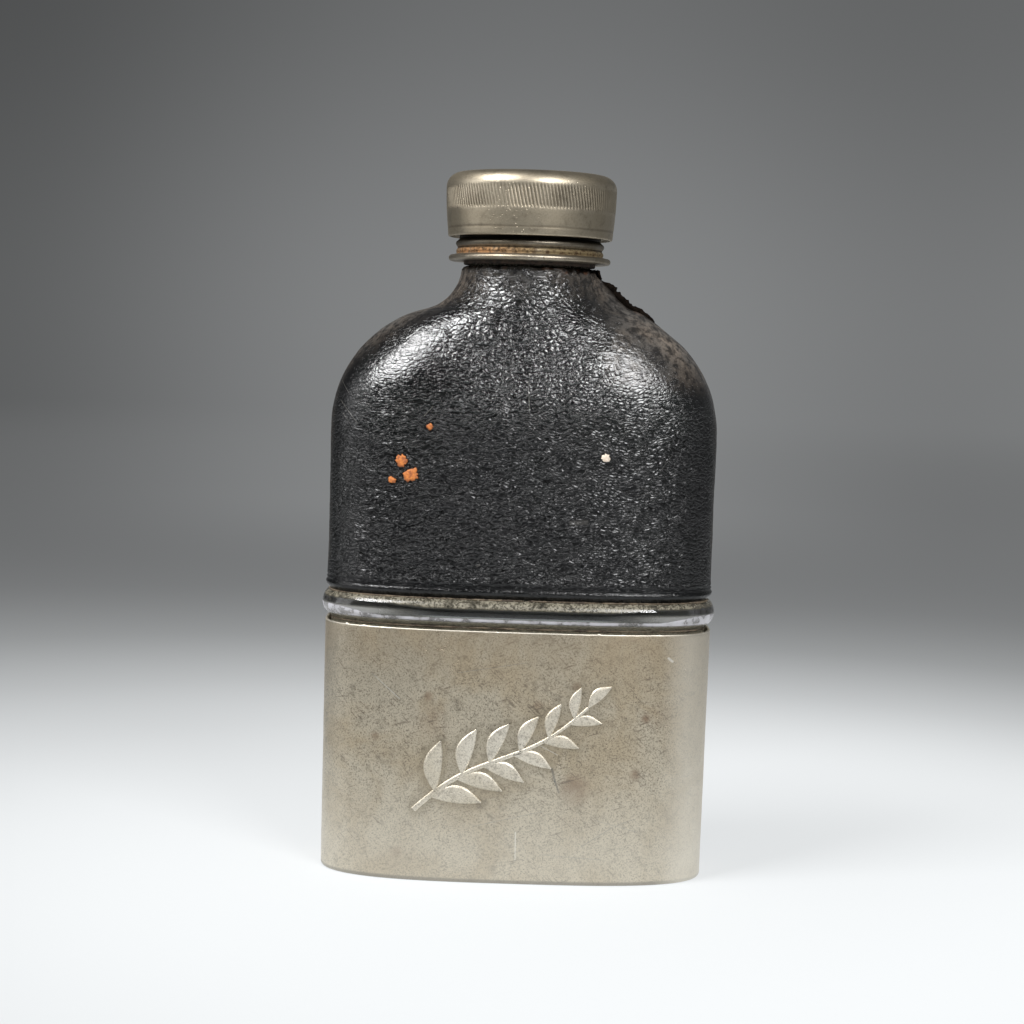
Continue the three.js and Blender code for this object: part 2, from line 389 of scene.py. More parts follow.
def step(value, low, high, at_low=0.0, at_high=1.0):
    """A smooth step from at_low to at_high as value goes from low to high."""
    inputs = {"Value": value, "From Min": low, "From Max": high, "To Min": at_low, "To Max": at_high}
    return new_field(value.tree, "ShaderNodeMapRange", inputs, interpolation_type="SMOOTHSTEP")


def noise_of(place, width, detail=2.0, rough=0.5, distortion=0.0, output=0):
    """Noise whose swells are about width metres across; its output "Color" gives three at once."""
    inputs = {"Vector": place, "Scale": 1 / width, "Detail": detail, "Roughness": rough,
              "Distortion": distortion}
    return new_field(place.tree, "ShaderNodeTexNoise", inputs, output)


def cells_of(place, width, output="Distance", feature="F1", randomness=1.0):
    """Something about the nearest of many cells that are about width metres across."""
    inputs = {"Vector": place, "Scale": 1 / width, "Randomness": randomness}
    return new_field(place.tree, "ShaderNodeTexVoronoi", inputs, output, feature=feature)


def mix(factor, a, b, blend="MIX"):
    """A colour mix; a and b are colours or fields."""
    tree = next(v for v in (factor, a, b) if isinstance(v, Field)).tree
    inputs = {0: factor, 6: a, 7: b}
    return new_field(tree, "ShaderNodeMix", inputs, 2, data_type="RGBA", blend_type=blend)


def mix_value(factor, a, b):
    """A mix of two numbers or value fields."""
    return new_field(factor.tree, "ShaderNodeMix", {0: factor, 2: a, 3: b}, data_type="FLOAT")


def split(vector):
    """The x, y and z fields of a vector, or the three parts of a colour."""
    made = add_node(vector.tree, "ShaderNodeSeparateXYZ", {0: vector})
    return [Field(socket) for socket in made.outputs]


def attribute(place, name):
    """A mesh attribute, read in the tree that place belongs to."""
    return new_field(place.tree, "ShaderNodeAttribute", {}, "Fac", attribute_name=name)


def new_material(name):
    """A material with one Principled shader; returns the material, its shader and the position."""
    material = bpy.data.materials.new(name)
    material.use_nodes = True
    shader = material.node_tree.nodes["Principled BSDF"]
    return material, shader, new_field(material.node_tree, "ShaderNodeTexCoord", {}, "Object")


def bump(shader, height, depth, strength=1.0):
    """Adds relief to a shader; height is 0 to 1 and depth is its size in metres."""
    inputs = {"Height": height, "Distance": depth, "Strength": strength}
    relief = new_field(height.tree, "ShaderNodeBump", inputs)
    feed(shader.inputs["Normal"], relief)
    return relief


def segment_mask(place, start, end, half_width):
    """1 within half_width of a line between two (x, z) points in millimetres, seen from the front."""
    (x0, z0), (x1, z1) = start, end
    length = math.hypot(x1 - x0, z1 - z0)
    ux, uz = (x1 - x0) / length, (z1 - z0) / length
    x, _, z = split(place)
    dx, dz = x - x0 * MM, z - z0 * MM
    held = calc("MINIMUM", largest(dx * ux + dz * uz, 0.0), length * MM)
    square = calc("POWER", calc("ABSOLUTE", dx - held * ux), 2.0)
    square = square + calc("POWER", calc("ABSOLUTE", dz - held * uz), 2.0)
    return step(calc("SQRT", square), half_width * MM * 0.3, half_width * MM, 1.0, 0.0)


def spot_mask(place, centre, radius):
    """1 at an (x, y, z) point in millimetres, falling softly to 0 at radius from it."""
    inputs = {0: place, 1: tuple(c * MM for c in centre)}
    away = new_field(place.tree, "ShaderNodeVectorMath", inputs, "Value", operation="DISTANCE")
    return step(away, radius * (1 - SPOT_SOFTNESS) * MM, radius * MM, 1.0, 0.0)


# ------------------------------------------------------------------ materials
# Lengths and heights in these node trees are in metres. Tables of marks are in millimetres.

SPOT_SOFTNESS = 0.9  # share of a spot's radius over which it fades
PLATE_DIRT = (0.12, 0.1, 0.075)
STAIN_BROWN = (0.27, 0.19, 0.13)
# This brown is painted shade: it darkens the cup round its raised sprig and the cap's corner and crown.
SHADE_BROWN = (0.2, 0.17, 0.12)

CUP_STAINS = (  # centre (x, y, z), radius, strength
    ((12.8, -18.6, 20.3), 4.6, 0.85),
    ((25.2, -16.8, 23.5), 1.7, 0.7),
    ((-17.5, -17.9, 34.0), 6.0, 0.25),
    ((30.0, -15.6, 36.0), 5.0, 0.2),
    ((-18.0, -18.0, 38.8), 1.5, 0.75),
    ((4.5, -19.0, 37.7), 1.7, 0.6),
    ((12.5, -18.6, 41.9), 1.6, 0.75),
    ((27.0, -16.2, 35.3), 1.5, 0.75),
    ((-24.0, -17.2, 5.7), 2.0, 0.6),
    ((-29.0, -15.8, 30.0), 1.4, 0.6),
)
CUP_SCRATCHES = (  # start (x, z), end (x, z), half width, grey tone
    ((0.8, 11.0), (0.9, 5.2), 0.16, 0.95),
    ((14.5, 8.3), (21.0, 12.6), 0.12, 0.2),
    ((22.0, 13.0), (25.5, 14.2), 0.1, 0.22),
    ((-8.0, 12.0), (6.0, 15.5), 0.09, 0.25),
    ((4.0, 30.0), (9.0, 27.5), 0.08, 0.8),
    ((-30.0, 43.0), (-24.0, 38.0), 0.1, 0.8),
    ((31.4, 47.9), (32.3, 47.2), 0.35, 1.0),
    ((17.0, 14.0), (26.0, 11.5), 0.08, 0.3),
    ((-12.0, 44.0), (2.0, 46.5), 0.08, 0.3),
    ((6.0, 6.5), (19.0, 5.6), 0.09, 0.3),
    ((7.9, 24.6), (8.6, 22.0), 0.35, 0.16),
    ((8.6, 22.0), (9.5, 19.6), 0.28, 0.16),
)
LEATHER_SCRATCHES = (  # start (x, z), end (x, z), half width, strength
    ((-36.0, 110.5), (-32.5, 113.0), 0.09, 0.4),
    ((-38.3, 99.0), (-34.5, 94.5), 0.09, 0.4),
    ((-37.8, 96.5), (-36.0, 94.2), 0.08, 0.4),
    ((-39.0, 104.0), (-36.5, 100.5), 0.07, 0.3),
    ((-20.6, 96.6), (-18.9, 98.6), 0.1, 0.4),
    ((10.2, 75.6), (13.2, 75.9), 0.7, 0.16),
    ((-8.8, 66.2), (-8.4, 66.4), 0.3, 0.3),
    ((0.4, 104.2), (0.9, 98.0), 0.09, 0.3),
    ((28.0, 86.5), (30.5, 90.0), 0.08, 0.25),
)


def plated_metal(name, base, dull, rough, pits=0.5, speckle=0.5, marks=None):
    """Aged nickel plate: mottled between base and dull, with fine dark pits and soft stains.
    marks(place, colour, roughness) may add what is special to one piece."""
    material, shader, place = new_material(name)
    cloud = noise_of(place, 0.016, 5.0, 0.6, 0.6)
    fleck = noise_of(place, 0.0022, 4.0, 0.75)
    speck = noise_of(place, 0.00033, 3.0, 0.75)
    pit = step(cells_of(place, 0.0007), 0.1, 0.26, 1.0, 0.0) * step(noise_of(place, 0.009, 3.0), 0.4, 0.62)
    colour = mix(step(cloud, 0.36, 0.62), dull, base)
    for share in (step(fleck, 0.5, 0.72, 0.0, 0.4), step(speck, 0.45, 0.7, 0.0, speckle), pit * pits):
        colour = mix(share, colour, PLATE_DIRT)
    roughness = step(cloud, 0.3, 0.7, rough + 0.1, rough - 0.04)
    if marks:
        colour, roughness = marks(place, colour, roughness)
    feed_all(shader, {"Base Color": colour, "Roughness": roughness, "Metallic": 1.0})
    bump(shader, fleck * 0.5 - pit, 0.00006, 0.6)
    return material


def cup_marks(place, colour, roughness):
    """The cup's own stains and scratches, its darker brim and a dark line at its foot, with painted
    shade round the sprig and a painted reflection that makes it paler low down and at its ends.
    """
    across, _, height = split(place)
    edge = noise_of(place, 0.003, 3.0)
    for centre, radius, share in CUP_STAINS:
        spot = spot_mask(place, centre, radius) * edge
        colour = mix((spot * (share * 1.6)).clamped(), colour, STAIN_BROWN)
    for start, end, width, tone in CUP_SCRATCHES:
        line = segment_mask(place, start, end, width)
        colour = mix(line * 0.6, colour, (tone, tone, tone * 0.95))
    for tilt in (0.3, -0.75):
        inputs = {"Vector": place, "Angle": tilt}
        tilted = new_field(place.tree, "ShaderNodeVectorRotate", inputs, rotation_type="Y_AXIS")
        hair = step(noise_of(tilted * (0.07, 0.2, 1.0), 0.00035, 1.0), 0.62, 0.7)
        colour = mix(hair * step(edge, 0.45, 0.65, 0.0, 0.65), colour, (0.16, 0.13, 0.1))
    high = step(height, 0.038, 0.052) * edge
    # lighter towards both ends, most on the right: a painted reflection of the bright floor at the sides
    ends = step(across, 0.029, 0.037, 0.0, 0.6) + step(across, -0.039, -0.033, 0.15, 0.0)
    brim = step(height, (CUP_HEIGHT - 0.4) * MM, (CUP_HEIGHT - 0.15) * MM, 0.0, 0.8)
    for share, tone in (
        (step(height, 0.0006, 0.0011, 0.75, 0.0), (0.05, 0.045, 0.04)),
        # paler towards the foot: a painted reflection of the bright floor
        (step(height, 0.004, 0.03, 1.0, 0.0) * 0.35, (0.78, 0.74, 0.65)),
        ((high * 0.7).clamped(), (0.4, 0.32, 0.22)),
        (ends, (0.85, 0.8, 0.7)),
        (brim, (0.95, 0.9, 0.78)),
        # painted shade round the raised sprig
        (attribute(place, "sprig_shade") * 0.3, SHADE_BROWN),
    ):
        colour = mix(share, colour, tone)
    return colour, roughness


def cap_marks(place, colour, roughness):
    """Dirt held in the cap's reeding, a duller skirt, and painted shade on the corner and crown that
    dims their highlights; both are also a little rougher.
    """
    height = split(place)[2]
    colour = mix(step(height, 0.1385, 0.1400, 0.28, 0.0), colour, (0.17, 0.14, 0.09))
    # painted shade on the corner and crown, to dim their highlights
    corner = step(height, 0.1447, 0.1458, 0.0, 0.5)
    crown = step(height, 0.1471, 0.1478)
    colour = mix(corner, colour, SHADE_BROWN)
    colour = mix(crown * 0.2, colour, SHADE_BROWN)
    dirt = noise_of(place, 0.004, 3.0)
    share = attribute(place, "groove") * step(dirt, 0.3, 0.6, 0.55, 0.95)
    colour = mix(share, colour, (0.09, 0.07, 0.045))
    return colour, (roughness + corner * 0.08 + crown * 0.22).clamped()


def collar_marks(place, colour, roughness):
    """Rust-brown grime in the collar's grooves, and painted black shade on its thread and bead, where the
    cap's skirt shades them.
    """
    patch = noise_of(place, 0.005, 4.0, 0.65)
    share = attribute(place, "groove") * step(patch, 0.3, 0.55, 0.45, 1.0)
    dry = mix(step(split(place)[0], -0.012, 0.004), (0.43, 0.25, 0.125), (0.32, 0.255, 0.15))
    rust = mix(step(noise_of(place, 0.0007, 3.0), 0.35, 0.6), (0.11, 0.07, 0.04), dry)
    colour = mix(share, colour, rust)
    # painted shade: black on the thread, the groove above the band and the bead
    colour = mix(attribute(place, "collar_shade"), colour, (0.012, 0.01, 0.008))
    return colour, (roughness + share * 0.35).clamped()


PEBBLE = (0.0012, 0.0012, 0.00078)  # a pebble's width, width and height, in metres
FOLD = (0.0013, 0.0013, 0.0005)  # size of the finer folds that cross the pebbles
GRAIN_CENTRE = (0, 0, 0.107)  # the place from which the shoulders' larger pebbles are scaled
GRAIN_DEPTH = 0.00013
PRESSED_SHARE = 0.4  # share of the grain's depth that is pressed into the mesh itself


def pebbles(position):
    """Height of the pebbled grain at a position in metres, 0 in a crease and about 1 on a pebble.
    Each pebble is a dome that leans out towards its lower edge, like a fish scale, and the creases
    between pebbles side by side are weaker than those above and below. Pebbles are larger up on the
    shoulders and the neck. It works in a shader tree and in a geometry tree, so the mesh and the
    shading agree."""
    swirl = noise_of(position, 0.0042, output="Color") - (0.5, 0.5, 0.5)
    moved = position + swirl * (0.0022, 0.0022, 0.0022) - GRAIN_CENTRE
    scaled = moved / PEBBLE * step(split(position)[2], 0.098, 0.116, 1.0, 0.8)
    edge = (cells_of(scaled, 1.0, "Distance", "DISTANCE_TO_EDGE", 0.9) / 0.42).clamped()
    dome = edge * (2.0 - edge)
    below = split(cells_of(scaled, 1.0, "Position", "F1", 0.9) - scaled)[2]
    level = step(calc("ABSOLUTE", below), 0.04, 0.26, 0.85, 1.0)
    merged = step(noise_of(scaled, 1.7, 1.0), 0.38, 0.55, 0.75, 1.0)
    sunk = (1.0 - dome) * (level * merged)
    fold = noise_of(moved / FOLD, 1.0, 2.5, 0.6, 0.4)
    fold = step(calc("ABSOLUTE", fold - 0.5), 0.0, 0.05, 0.5, 1.0)
    return ((1.0 - sunk) * (below * 0.9 + 0.75) * fold).clamped()


def leather_colour(place, grain, relief, wear, torn, fibre):
    """Black with painted shade darkening the creases, brown where it is worn and suede where it is torn.
    """
    tone = noise_of(place, 0.012, 4.0, 0.6)
    black = mix(step(tone, 0.35, 0.65), (0.0015, 0.0016, 0.002), (0.0045, 0.0047, 0.0052))
    tint = noise_of(place, 0.02, output="Color")
    black = mix(0.35, black, mix(1.0, black, tint, "MULTIPLY"))
    # painted shade: the creases between pebbles made darker
    crease = mix(step(grain, 0.05, 0.5), (0.002, 0.002, 0.002), black)
    colour = mix((relief * 1.0).clamped(), black, crease)
    rub = noise_of(place, 0.0016, 4.0, 0.7)
    patchy = (wear * step(rub, 0.38, 0.62, 0.2, 1.0)).clamped()
    colour = mix(patchy, colour, mix(step(tone, 0.4, 0.6), (0.18, 0.148, 0.12), (0.11, 0.1, 0.09)))
    suede = mix(step(fibre, 0.3, 0.7), (0.003, 0.0025, 0.002), (0.017, 0.012, 0.009))
    suede = mix(step(noise_of(place, 0.0028), 0.57, 0.7), suede, (0.11, 0.05, 0.028))
    colour = mix(torn, colour, suede)
    front = step(split(place)[1], -0.004, -0.002, 1.0, 0.0)
    for start, end, width, strength in LEATHER_SCRATCHES:
        line = segment_mask(place, start, end, width)
        colour = mix(line * front * (strength * 0.55), colour, (0.3, 0.28, 0.25))
    return colour


def leather(name):
    """Black pebbled leather, polished on the pebbles, dull in the creases and where it is torn."""
    material, shader, place = new_material(name)
    relief, wear, torn, shine = (attribute(place, key) for key in ("relief", "wear", "torn", "shine"))
    grain = pebbles(place)
    fibre = noise_of(place, 0.0009, 5.0, 0.8)
    fine = noise_of(place, 0.0004, 3.0, 0.65)
    smear = noise_of(place, 0.006, 3.0)
    deep = (relief * step(grain, 0.0, 0.13, 0.95, 0.0)).clamped()
    dull = largest(deep, (1.0 - relief).clamped() * 0.35, torn)
    polish = mix_value(relief, 0.24, step(grain * relief, 0.1, 0.7, 0.5, 0.45))
    polish = polish + step(smear, 0.35, 0.65, -0.04, 0.07) + wear * 0.12
    lift = grain * relief + fine * 0.3 + fibre * torn * 2.0
    feed_all(shader, {
        "Base Color": leather_colour(place, grain, relief, wear, torn, fibre),
        "Roughness": mix_value(torn, polish, 0.95),
        "Specular IOR Level": 0.03,
        "Coat Weight": shine * (1.0 - wear * 0.35) * (1.0 - dull).clamped(),
        "Coat Roughness": 0.15,
        "Coat IOR": 1.75,
        "Coat Normal": bump(shader, lift, GRAIN_DEPTH),
    })
    return material


def old_glass(name):
    """Clear old glass, with dull dirt on its moulded ring and painted reflections on the ring: a pale
    band low down for the bright floor, and a grey band above it, stronger towards both ends.
    """
    material, shader, place = new_material(name)
    across, _, height = split(place)
    spread = calc("ABSOLUTE", across)
    patch = noise_of(place, 0.0035, 4.0, 0.65)
    fine = noise_of(place, 0.0005, 4.0, 0.7)

    raised = height - step(spread, 0.018, 0.03, 0.0, 0.0007)
    upper = step(raised, 0.0569, 0.0577) * step(patch, 0.3, 0.6, 0.3, 0.7)
    upper = upper * step(fine, 0.3, 0.6, 0.5, 1.0)
    # painted reflection: a grey band across the ring's middle, stronger towards both ends
    painted_mid_sheen = step(height, 0.0564, 0.0572, 1.0, 0.0) * step(height, 0.0553, 0.0556)
    painted_mid_sheen = painted_mid_sheen * step(spread, 0.014, 0.032, 0.0, 0.45)
    # painted reflection of the bright floor: a pale band low on the ring, curving up at the ends
    unbent = height - step(spread, 0.028, 0.0395, 0.0, 0.0013)
    painted_floor_reflection = step(height, 0.0543, 0.0548) * step(unbent, 0.0551, 0.0556, 1.0, 0.0)
    painted_floor_reflection = painted_floor_reflection * step(patch, 0.35, 0.6, 0.45, 1.0)
    low = step(height, 0.0512, 0.0526) * step(height, 0.0543, 0.0547, 0.7, 0.0)
    # real dirt together with the painted reflection bands
    dirt_and_reflection = largest(low, painted_floor_reflection * 0.8, largest(upper, painted_mid_sheen))

    dirt = mix(step(fine, 0.35, 0.65), (0.15, 0.135, 0.1), (0.33, 0.3, 0.23))
    # the painted reflection bands' grey and pale lavender
    dirt = mix((painted_mid_sheen * 2.2).clamped(), dirt, (0.5, 0.5, 0.48))
    dirt = mix(painted_floor_reflection, dirt, (0.62, 0.61, 0.65))
    feed_all(shader, {
        "Base Color": mix(step(dirt_and_reflection, 0.02, 0.25), (0.93, 0.96, 0.945), dirt),
        "Roughness": step(dirt_and_reflection, 0.0, 0.8, 0.03, 0.36),
        "Transmission Weight": step(dirt_and_reflection, 0.0, 1.0, 1.0, 0.05),
        "IOR": 1.5,
    })
    bump(shader, noise_of(place, 0.006) + fine * dirt_and_reflection * 0.6, 0.0001, 0.4)
    return material


def grime(name):
    """Brown-grey dirt, rough and crumbly."""
    material, shader, place = new_material(name)
    patch = noise_of(place, 0.003, 4.0, 0.7)
    fine = noise_of(place, 0.0005, 4.0, 0.7)
    colour = mix(step(patch, 0.35, 0.65), (0.05, 0.036, 0.025), (0.2, 0.155, 0.105))
    colour = mix(step(fine, 0.55, 0.75), colour, (0.42, 0.38, 0.3))
    feed_all(shader, {"Base Color": colour, "Roughness": 0.85})
    bump(shader, fine, 0.0002, 0.8)
    return material


def cork(name):
    """Pressed cork: tan granules with darker seams and small holes."""
    material, shader, place = new_material(name)
    tint = split(cells_of(place, 0.0016, "Color"))[0]
    edge = cells_of(place, 0.0016, "Distance", "DISTANCE_TO_EDGE")
    colour = mix(tint, (0.36, 0.2, 0.1), (0.55, 0.36, 0.2))
    colour = mix(step(edge, 0.0, 0.12, 0.8, 0.0), colour, (0.12, 0.06, 0.03))
    feed_all(shader, {"Base Color": colour, "Roughness": 0.88})
    bump(shader, edge, 0.0003, 0.7)
    return material


def grainy(name, grain, dark, light, roughness, relief):
    """A matt material between two colours. grain is its noise's width, detail and roughness, and
    relief is the depth and strength of its bump."""
    material, shader, place = new_material(name)
    fine = noise_of(place, *grain)
    feed_all(shader, {"Base Color": mix(step(fine, 0.35, 0.65), dark, light), "Roughness": roughness})
    bump(shader, fine, *relief)
    return material


def cement(name):
    """Old setting cement, dark brown and grainy."""
    dark, light = (0.012, 0.008, 0.006), (0.06, 0.038, 0.026)
    return grainy(name, (0.001, 5.0, 0.7), dark, light, 0.9, (0.0003, 0.7))


def paint(name, light, dark):
    """Dried paint in a crusty fleck."""
    return grainy(name, (0.0006, 4.0, 0.65), dark, light, 0.6, (0.0002, 0.8))


cup_metal = plated_metal("cup_plate", (0.6, 0.535, 0.42), (0.475, 0.402, 0.29), 0.42, 0.6, 0.8, cup_marks)
relief_metal = plated_metal("cup_relief_plate", (0.75, 0.7, 0.6), (0.61, 0.56, 0.46), 0.5)
cap_metal = plated_metal("cap_plate", (0.585, 0.515, 0.4), (0.455, 0.395, 0.3), 0.39, 0.3, 0.25, cap_marks)
collar_metal = plated_metal("collar_plate", (0.4, 0.355, 0.285), (0.26, 0.22, 0.16), 0.4, 0.4,
                            marks=collar_marks)
inner_metal = plated_metal("inner_plate", (0.5, 0.45, 0.36), (0.36, 0.31, 0.23), 0.45, 0.7)
leather_black = leather("cover_leather")
bottle_glass = old_glass("bottle_glass")
crevice_grime = grime("crevice_grime")
seal_cork = cork("seal_cork")
neck_cement = cement("neck_cement")
orange_paint = paint("orange_paint", (0.55, 0.18, 0.035), (0.26, 0.075, 0.022))
pale_paint = paint("pale_paint", (0.8, 0.7, 0.58), (0.6, 0.5, 0.4))


# ------------------------------------------------------------------ the cup

def cup_sprig_shade(points):
    """Painted shade round the raised sprig: 1 on the cup next to the sprig's outline, falling to 0 a few
    millimetres away.
    """
    sprig_shade = np.zeros(len(points))
    near = np.nonzero((points[:, 1] < -10) & (np.abs(points[:, 0]) < 32))[0]
    outline = sprig_points()[:, ::2]
    for part in np.array_split(near, 40):
        away = np.linalg.norm(points[part][:, None, ::2] - outline[None], axis=-1).min(1)
        sprig_shade[part] = np.exp(-(away / 1.3) ** 2)
    return sprig_shade


def cup_wall():
    """The drawn wall: rounded foot, slightly wavy sides, a thin rim with small burrs."""
    rim, foot = CUP_RIM, CUP_FOOT
    stops = [oval(foot, CUP_WALL, 0.0), oval(foot, FOOT_ROUNDING, 0.0)]
    for offset, z in quarter(-FOOT_ROUNDING, FOOT_ROUNDING, FOOT_ROUNDING, -90, 0, 6)[1:]:
        stops.append(oval(foot, -offset, z))
    stops.append(oval(rim, 0.0, CUP_HEIGHT - 0.2))
    for offset, z in quarter(-0.2, CUP_HEIGHT - 0.2, 0.2, 0, 90, 4)[1:]:
        stops.append(oval(rim, -offset, z))
    stops += [oval(rim, CUP_WALL - 0.1, CUP_HEIGHT), oval(rim, CUP_WALL, CUP_HEIGHT - 0.15)]
    rings = resample(stops, 0.8)
    points = section(even_angles(480)[:-1], rings)
    outward = grid_normals(points, True)
    flat = points.reshape(-1, 3)
    swell = 0.05 * wander(flat, 14.0, 1) + 0.02 * wander(flat, 5.0, 2)
    held = smooth(1.5, 6.0, flat[:, 2]) * (1 - 0.6 * smooth(CUP_HEIGHT - 4, CUP_HEIGHT, flat[:, 2]))
    shift = np.minimum(swell * held - 0.05, 0.0)
    flat = flat + outward.reshape(-1, 3) * shift[:, None]
    burr = np.maximum(wander(flat * [1, 1, 0], 1.1, 3) - 0.42, 0) * 1.6
    flat[:, 2] += burr * smooth(CUP_HEIGHT - 0.5, CUP_HEIGHT, flat[:, 2])
    return turned("cup_wall_shell", flat.reshape(points.shape), "cup", cup_metal, ["cup_wall"],
                  {"sprig_shade": cup_sprig_shade(flat)})


def cup_base():
    """The base plate, a hair short of the wall all round."""
    edge = (plate_high[0], plate_high[1])
    top = plate_high[2]
    under = [(0, 0, 0, SQUARENESS)] + [oval(edge, inset, 0.0) for inset in (14, 3, 0.15)]
    sides = [oval(edge, 0, 0.15), oval(edge, 0, top - 0.15)]
    over = [oval(edge, inset, top) for inset in (0.15, 3, 14)] + [(0, 0, top, SQUARENESS)]
    points = section(even_angles(240)[:-1], resample(under + sides + over, 4.0))
    return turned("cup_base_shell", points, "cup", cup_metal, ["cup_base_plate"])


# ------------------------------------------------------------------ the sprig on the cup's front

SPRIG_HEIGHT = 0.24
SPRIG_START = np.array([-20.5, 15.0])
SPRIG_END = np.array([15.0, 37.5])
LEAF_PAIRS = 6
LEAF_SIZE = (11.5, 4.1)  # length and width of the lowest leaf, before it is scaled by its place


def cup_front(x, z):
    """The y of the cup's front face at x and z."""
    share = z / CUP_HEIGHT
    width = CUP_FOOT[0] + (CUP_RIM[0] - CUP_FOOT[0]) * share
    depth = CUP_FOOT[1] + (CUP_RIM[1] - CUP_FOOT[1]) * share
    return -depth * (1 - np.abs(x / width) ** SQUARENESS) ** (1 / SQUARENESS)


def raised_patch(outline_left, outline_right, height):
    """Points and faces of a flat-topped raised strip between two edge lines of (x, z) points."""
    shares = np.array([0.0, 0.06, 0.16, 0.5, 0.84, 0.94, 1.0])
    lifts = np.array([-0.3, 0.6, 1.0, 1.0, 1.0, 0.6, -0.3]) * height
    left, right = outline_left[:, None], outline_right[:, None]
    flat = left + (right - left) * shares[None, :, None]
    x, z = flat[..., 0], flat[..., 1]
    y = cup_front(x, z) - lifts[None] + 0 * x
    points = np.stack([x, y, z], -1)
    faces = grid_faces(points.shape[0], points.shape[1], False)
    return points.reshape(-1, 3), faces


def curve_between(start, end, sag, count):
    """Points on a shallow S from start to end."""
    t = np.linspace(0, 1, count)[:, None]
    along = end - start
    across = np.array([-along[1], along[0]]) / np.linalg.norm(along)
    return start + along * t + across * sag * np.sin(TURN * t)


def leaf(root, direction, length, width):
    """Edge lines of a pointed leaf that grows from root along direction."""
    t = np.linspace(0.0, 1.0, 22)[:, None]
    across = np.array([-direction[1], direction[0]])
    middle = root + direction * length * t + across * 0.1 * length * np.sin(math.pi * t)
    half = 0.5 * width * np.sin(math.pi * np.clip(t, 0.02, 0.985)) ** 0.8
    return middle - across * half, middle + across * half


def sprig_parts():
    """Points and faces of the sprig's stem and of each of its leaves."""
    parts = []
    stem = curve_between(SPRIG_START, SPRIG_END, 1.3, 90)
    along = unit(np.gradient(stem, axis=0))
    across = np.stack([-along[:, 1], along[:, 0]], 1)
    half = np.linspace(0.62, 0.32, len(stem))[:, None]
    parts.append(raised_patch(stem - across * half, stem + across * half, SPRIG_HEIGHT))
    for i in range(LEAF_PAIRS):
        at = 0.13 + 0.77 * i / (LEAF_PAIRS - 1)
        k = int(at * (len(stem) - 1))
        size = 1 - 0.45 * at
        for side in (1, -1):
            lean = math.radians(46 - 8 * at) * side
            turn = np.array([[math.cos(lean), -math.sin(lean)], [math.sin(lean), math.cos(lean)]])
            root = stem[k] + along[k] * (0.6 if side > 0 else -0.9)
            edges = leaf(root, turn @ along[k], LEAF_SIZE[0] * size, LEAF_SIZE[1] * size)
            parts.append(raised_patch(*edges, SPRIG_HEIGHT))
    parts.append(raised_patch(*leaf(stem[-1], along[-1], 6.5, 2.5), SPRIG_HEIGHT))
    return parts


def sprig_points():
    """Every point of the sprig."""
    return np.concatenate([points for points, _ in sprig_parts()])


def cup_sprig():
    """A raised leafy sprig, set on the diagonal of the cup's front."""
    points, faces, count = [], [], 0
    for part_points, part_faces in sprig_parts():
        points.append(part_points)
        faces += [[count + v for v in face] for face in part_faces]
        count += len(part_points)
    return add_object("cup_sprig_relief", np.concatenate(points), faces, "cup", relief_metal)


# ------------------------------------------------------------------ the bottle

def glass_bottle():
    """The bottle: heel, straight side, moulded ring, shoulder, neck and lip, then the inside."""
    shape = (BODY[0] - GLASS_INSET, BODY[1] - GLASS_INSET)
    low, lip = glass_low[2], glass_high[2]
    outside = [(0, 0, low, SQUARENESS), oval(shape, 12, low)]
    for offset, z in quarter(-GLASS_HEEL, low + GLASS_HEEL, GLASS_HEEL, -90, 0, 14):
        outside.append(oval(shape, -offset, z))
    for share in np.linspace(0, 1, 25):
        out = BEAD_STANDS * math.sqrt(max(0.0, 1 - (2 * share - 1) ** 2))
        outside.append(oval(shape, -out, BEAD[0] + (BEAD[1] - BEAD[0]) * share))
    outside = np.array(outside)
    shoulder = body_rings(shoulder_outline(GLASS_INSET, BEAD[1] + 1, LEATHER_TOP - 0.3, 1.2), GLASS_INSET)
    neck = round_rings([(GLASS_NECK, LEATHER_TOP + 1), (GLASS_NECK, lip - 0.8),
                        *quarter(GLASS_NECK - 0.8, lip - 0.8, 0.8, 0, 90, 5),
                        *quarter(GLASS_BORE + 0.8, lip - 0.8, 0.8, 90, 180, 5),
                        (GLASS_BORE, LEATHER_TOP + 2)], 1.5)
    deep = GLASS_INSET + GLASS_WALL
    inner = body_rings(shoulder_outline(deep, GLASS_FLOOR + 5, LEATHER_TOP, 1.5), deep)[::-1]
    floor = [(shape[0] - GLASS_WALL + offset, shape[1] - GLASS_WALL + offset, z, SQUARENESS)
             for offset, z in quarter(-5, GLASS_FLOOR + 5, 5, 0, -90, 12)]
    floor += [(shape[0] - 20, 3.0, GLASS_FLOOR, SQUARENESS), (0, 0, GLASS_FLOOR, SQUARENESS)]
    rings = np.concatenate([resample(outside, 2.0), shoulder, neck, inner, floor])
    points = section(even_angles(256)[:-1], rings)
    return turned("bottle_glass_shell", points, "bottle", bottle_glass, ["glass_bottle"])


DIRT_RINGS = (  # name, height, distance out from the glass, thickness, seed of its noise
    ("dirt_under_leather", 59.15, 0.35, 0.32, 21),
    ("dirt_at_cup_rim", 53.3, 0.1, 0.28, 31),
)


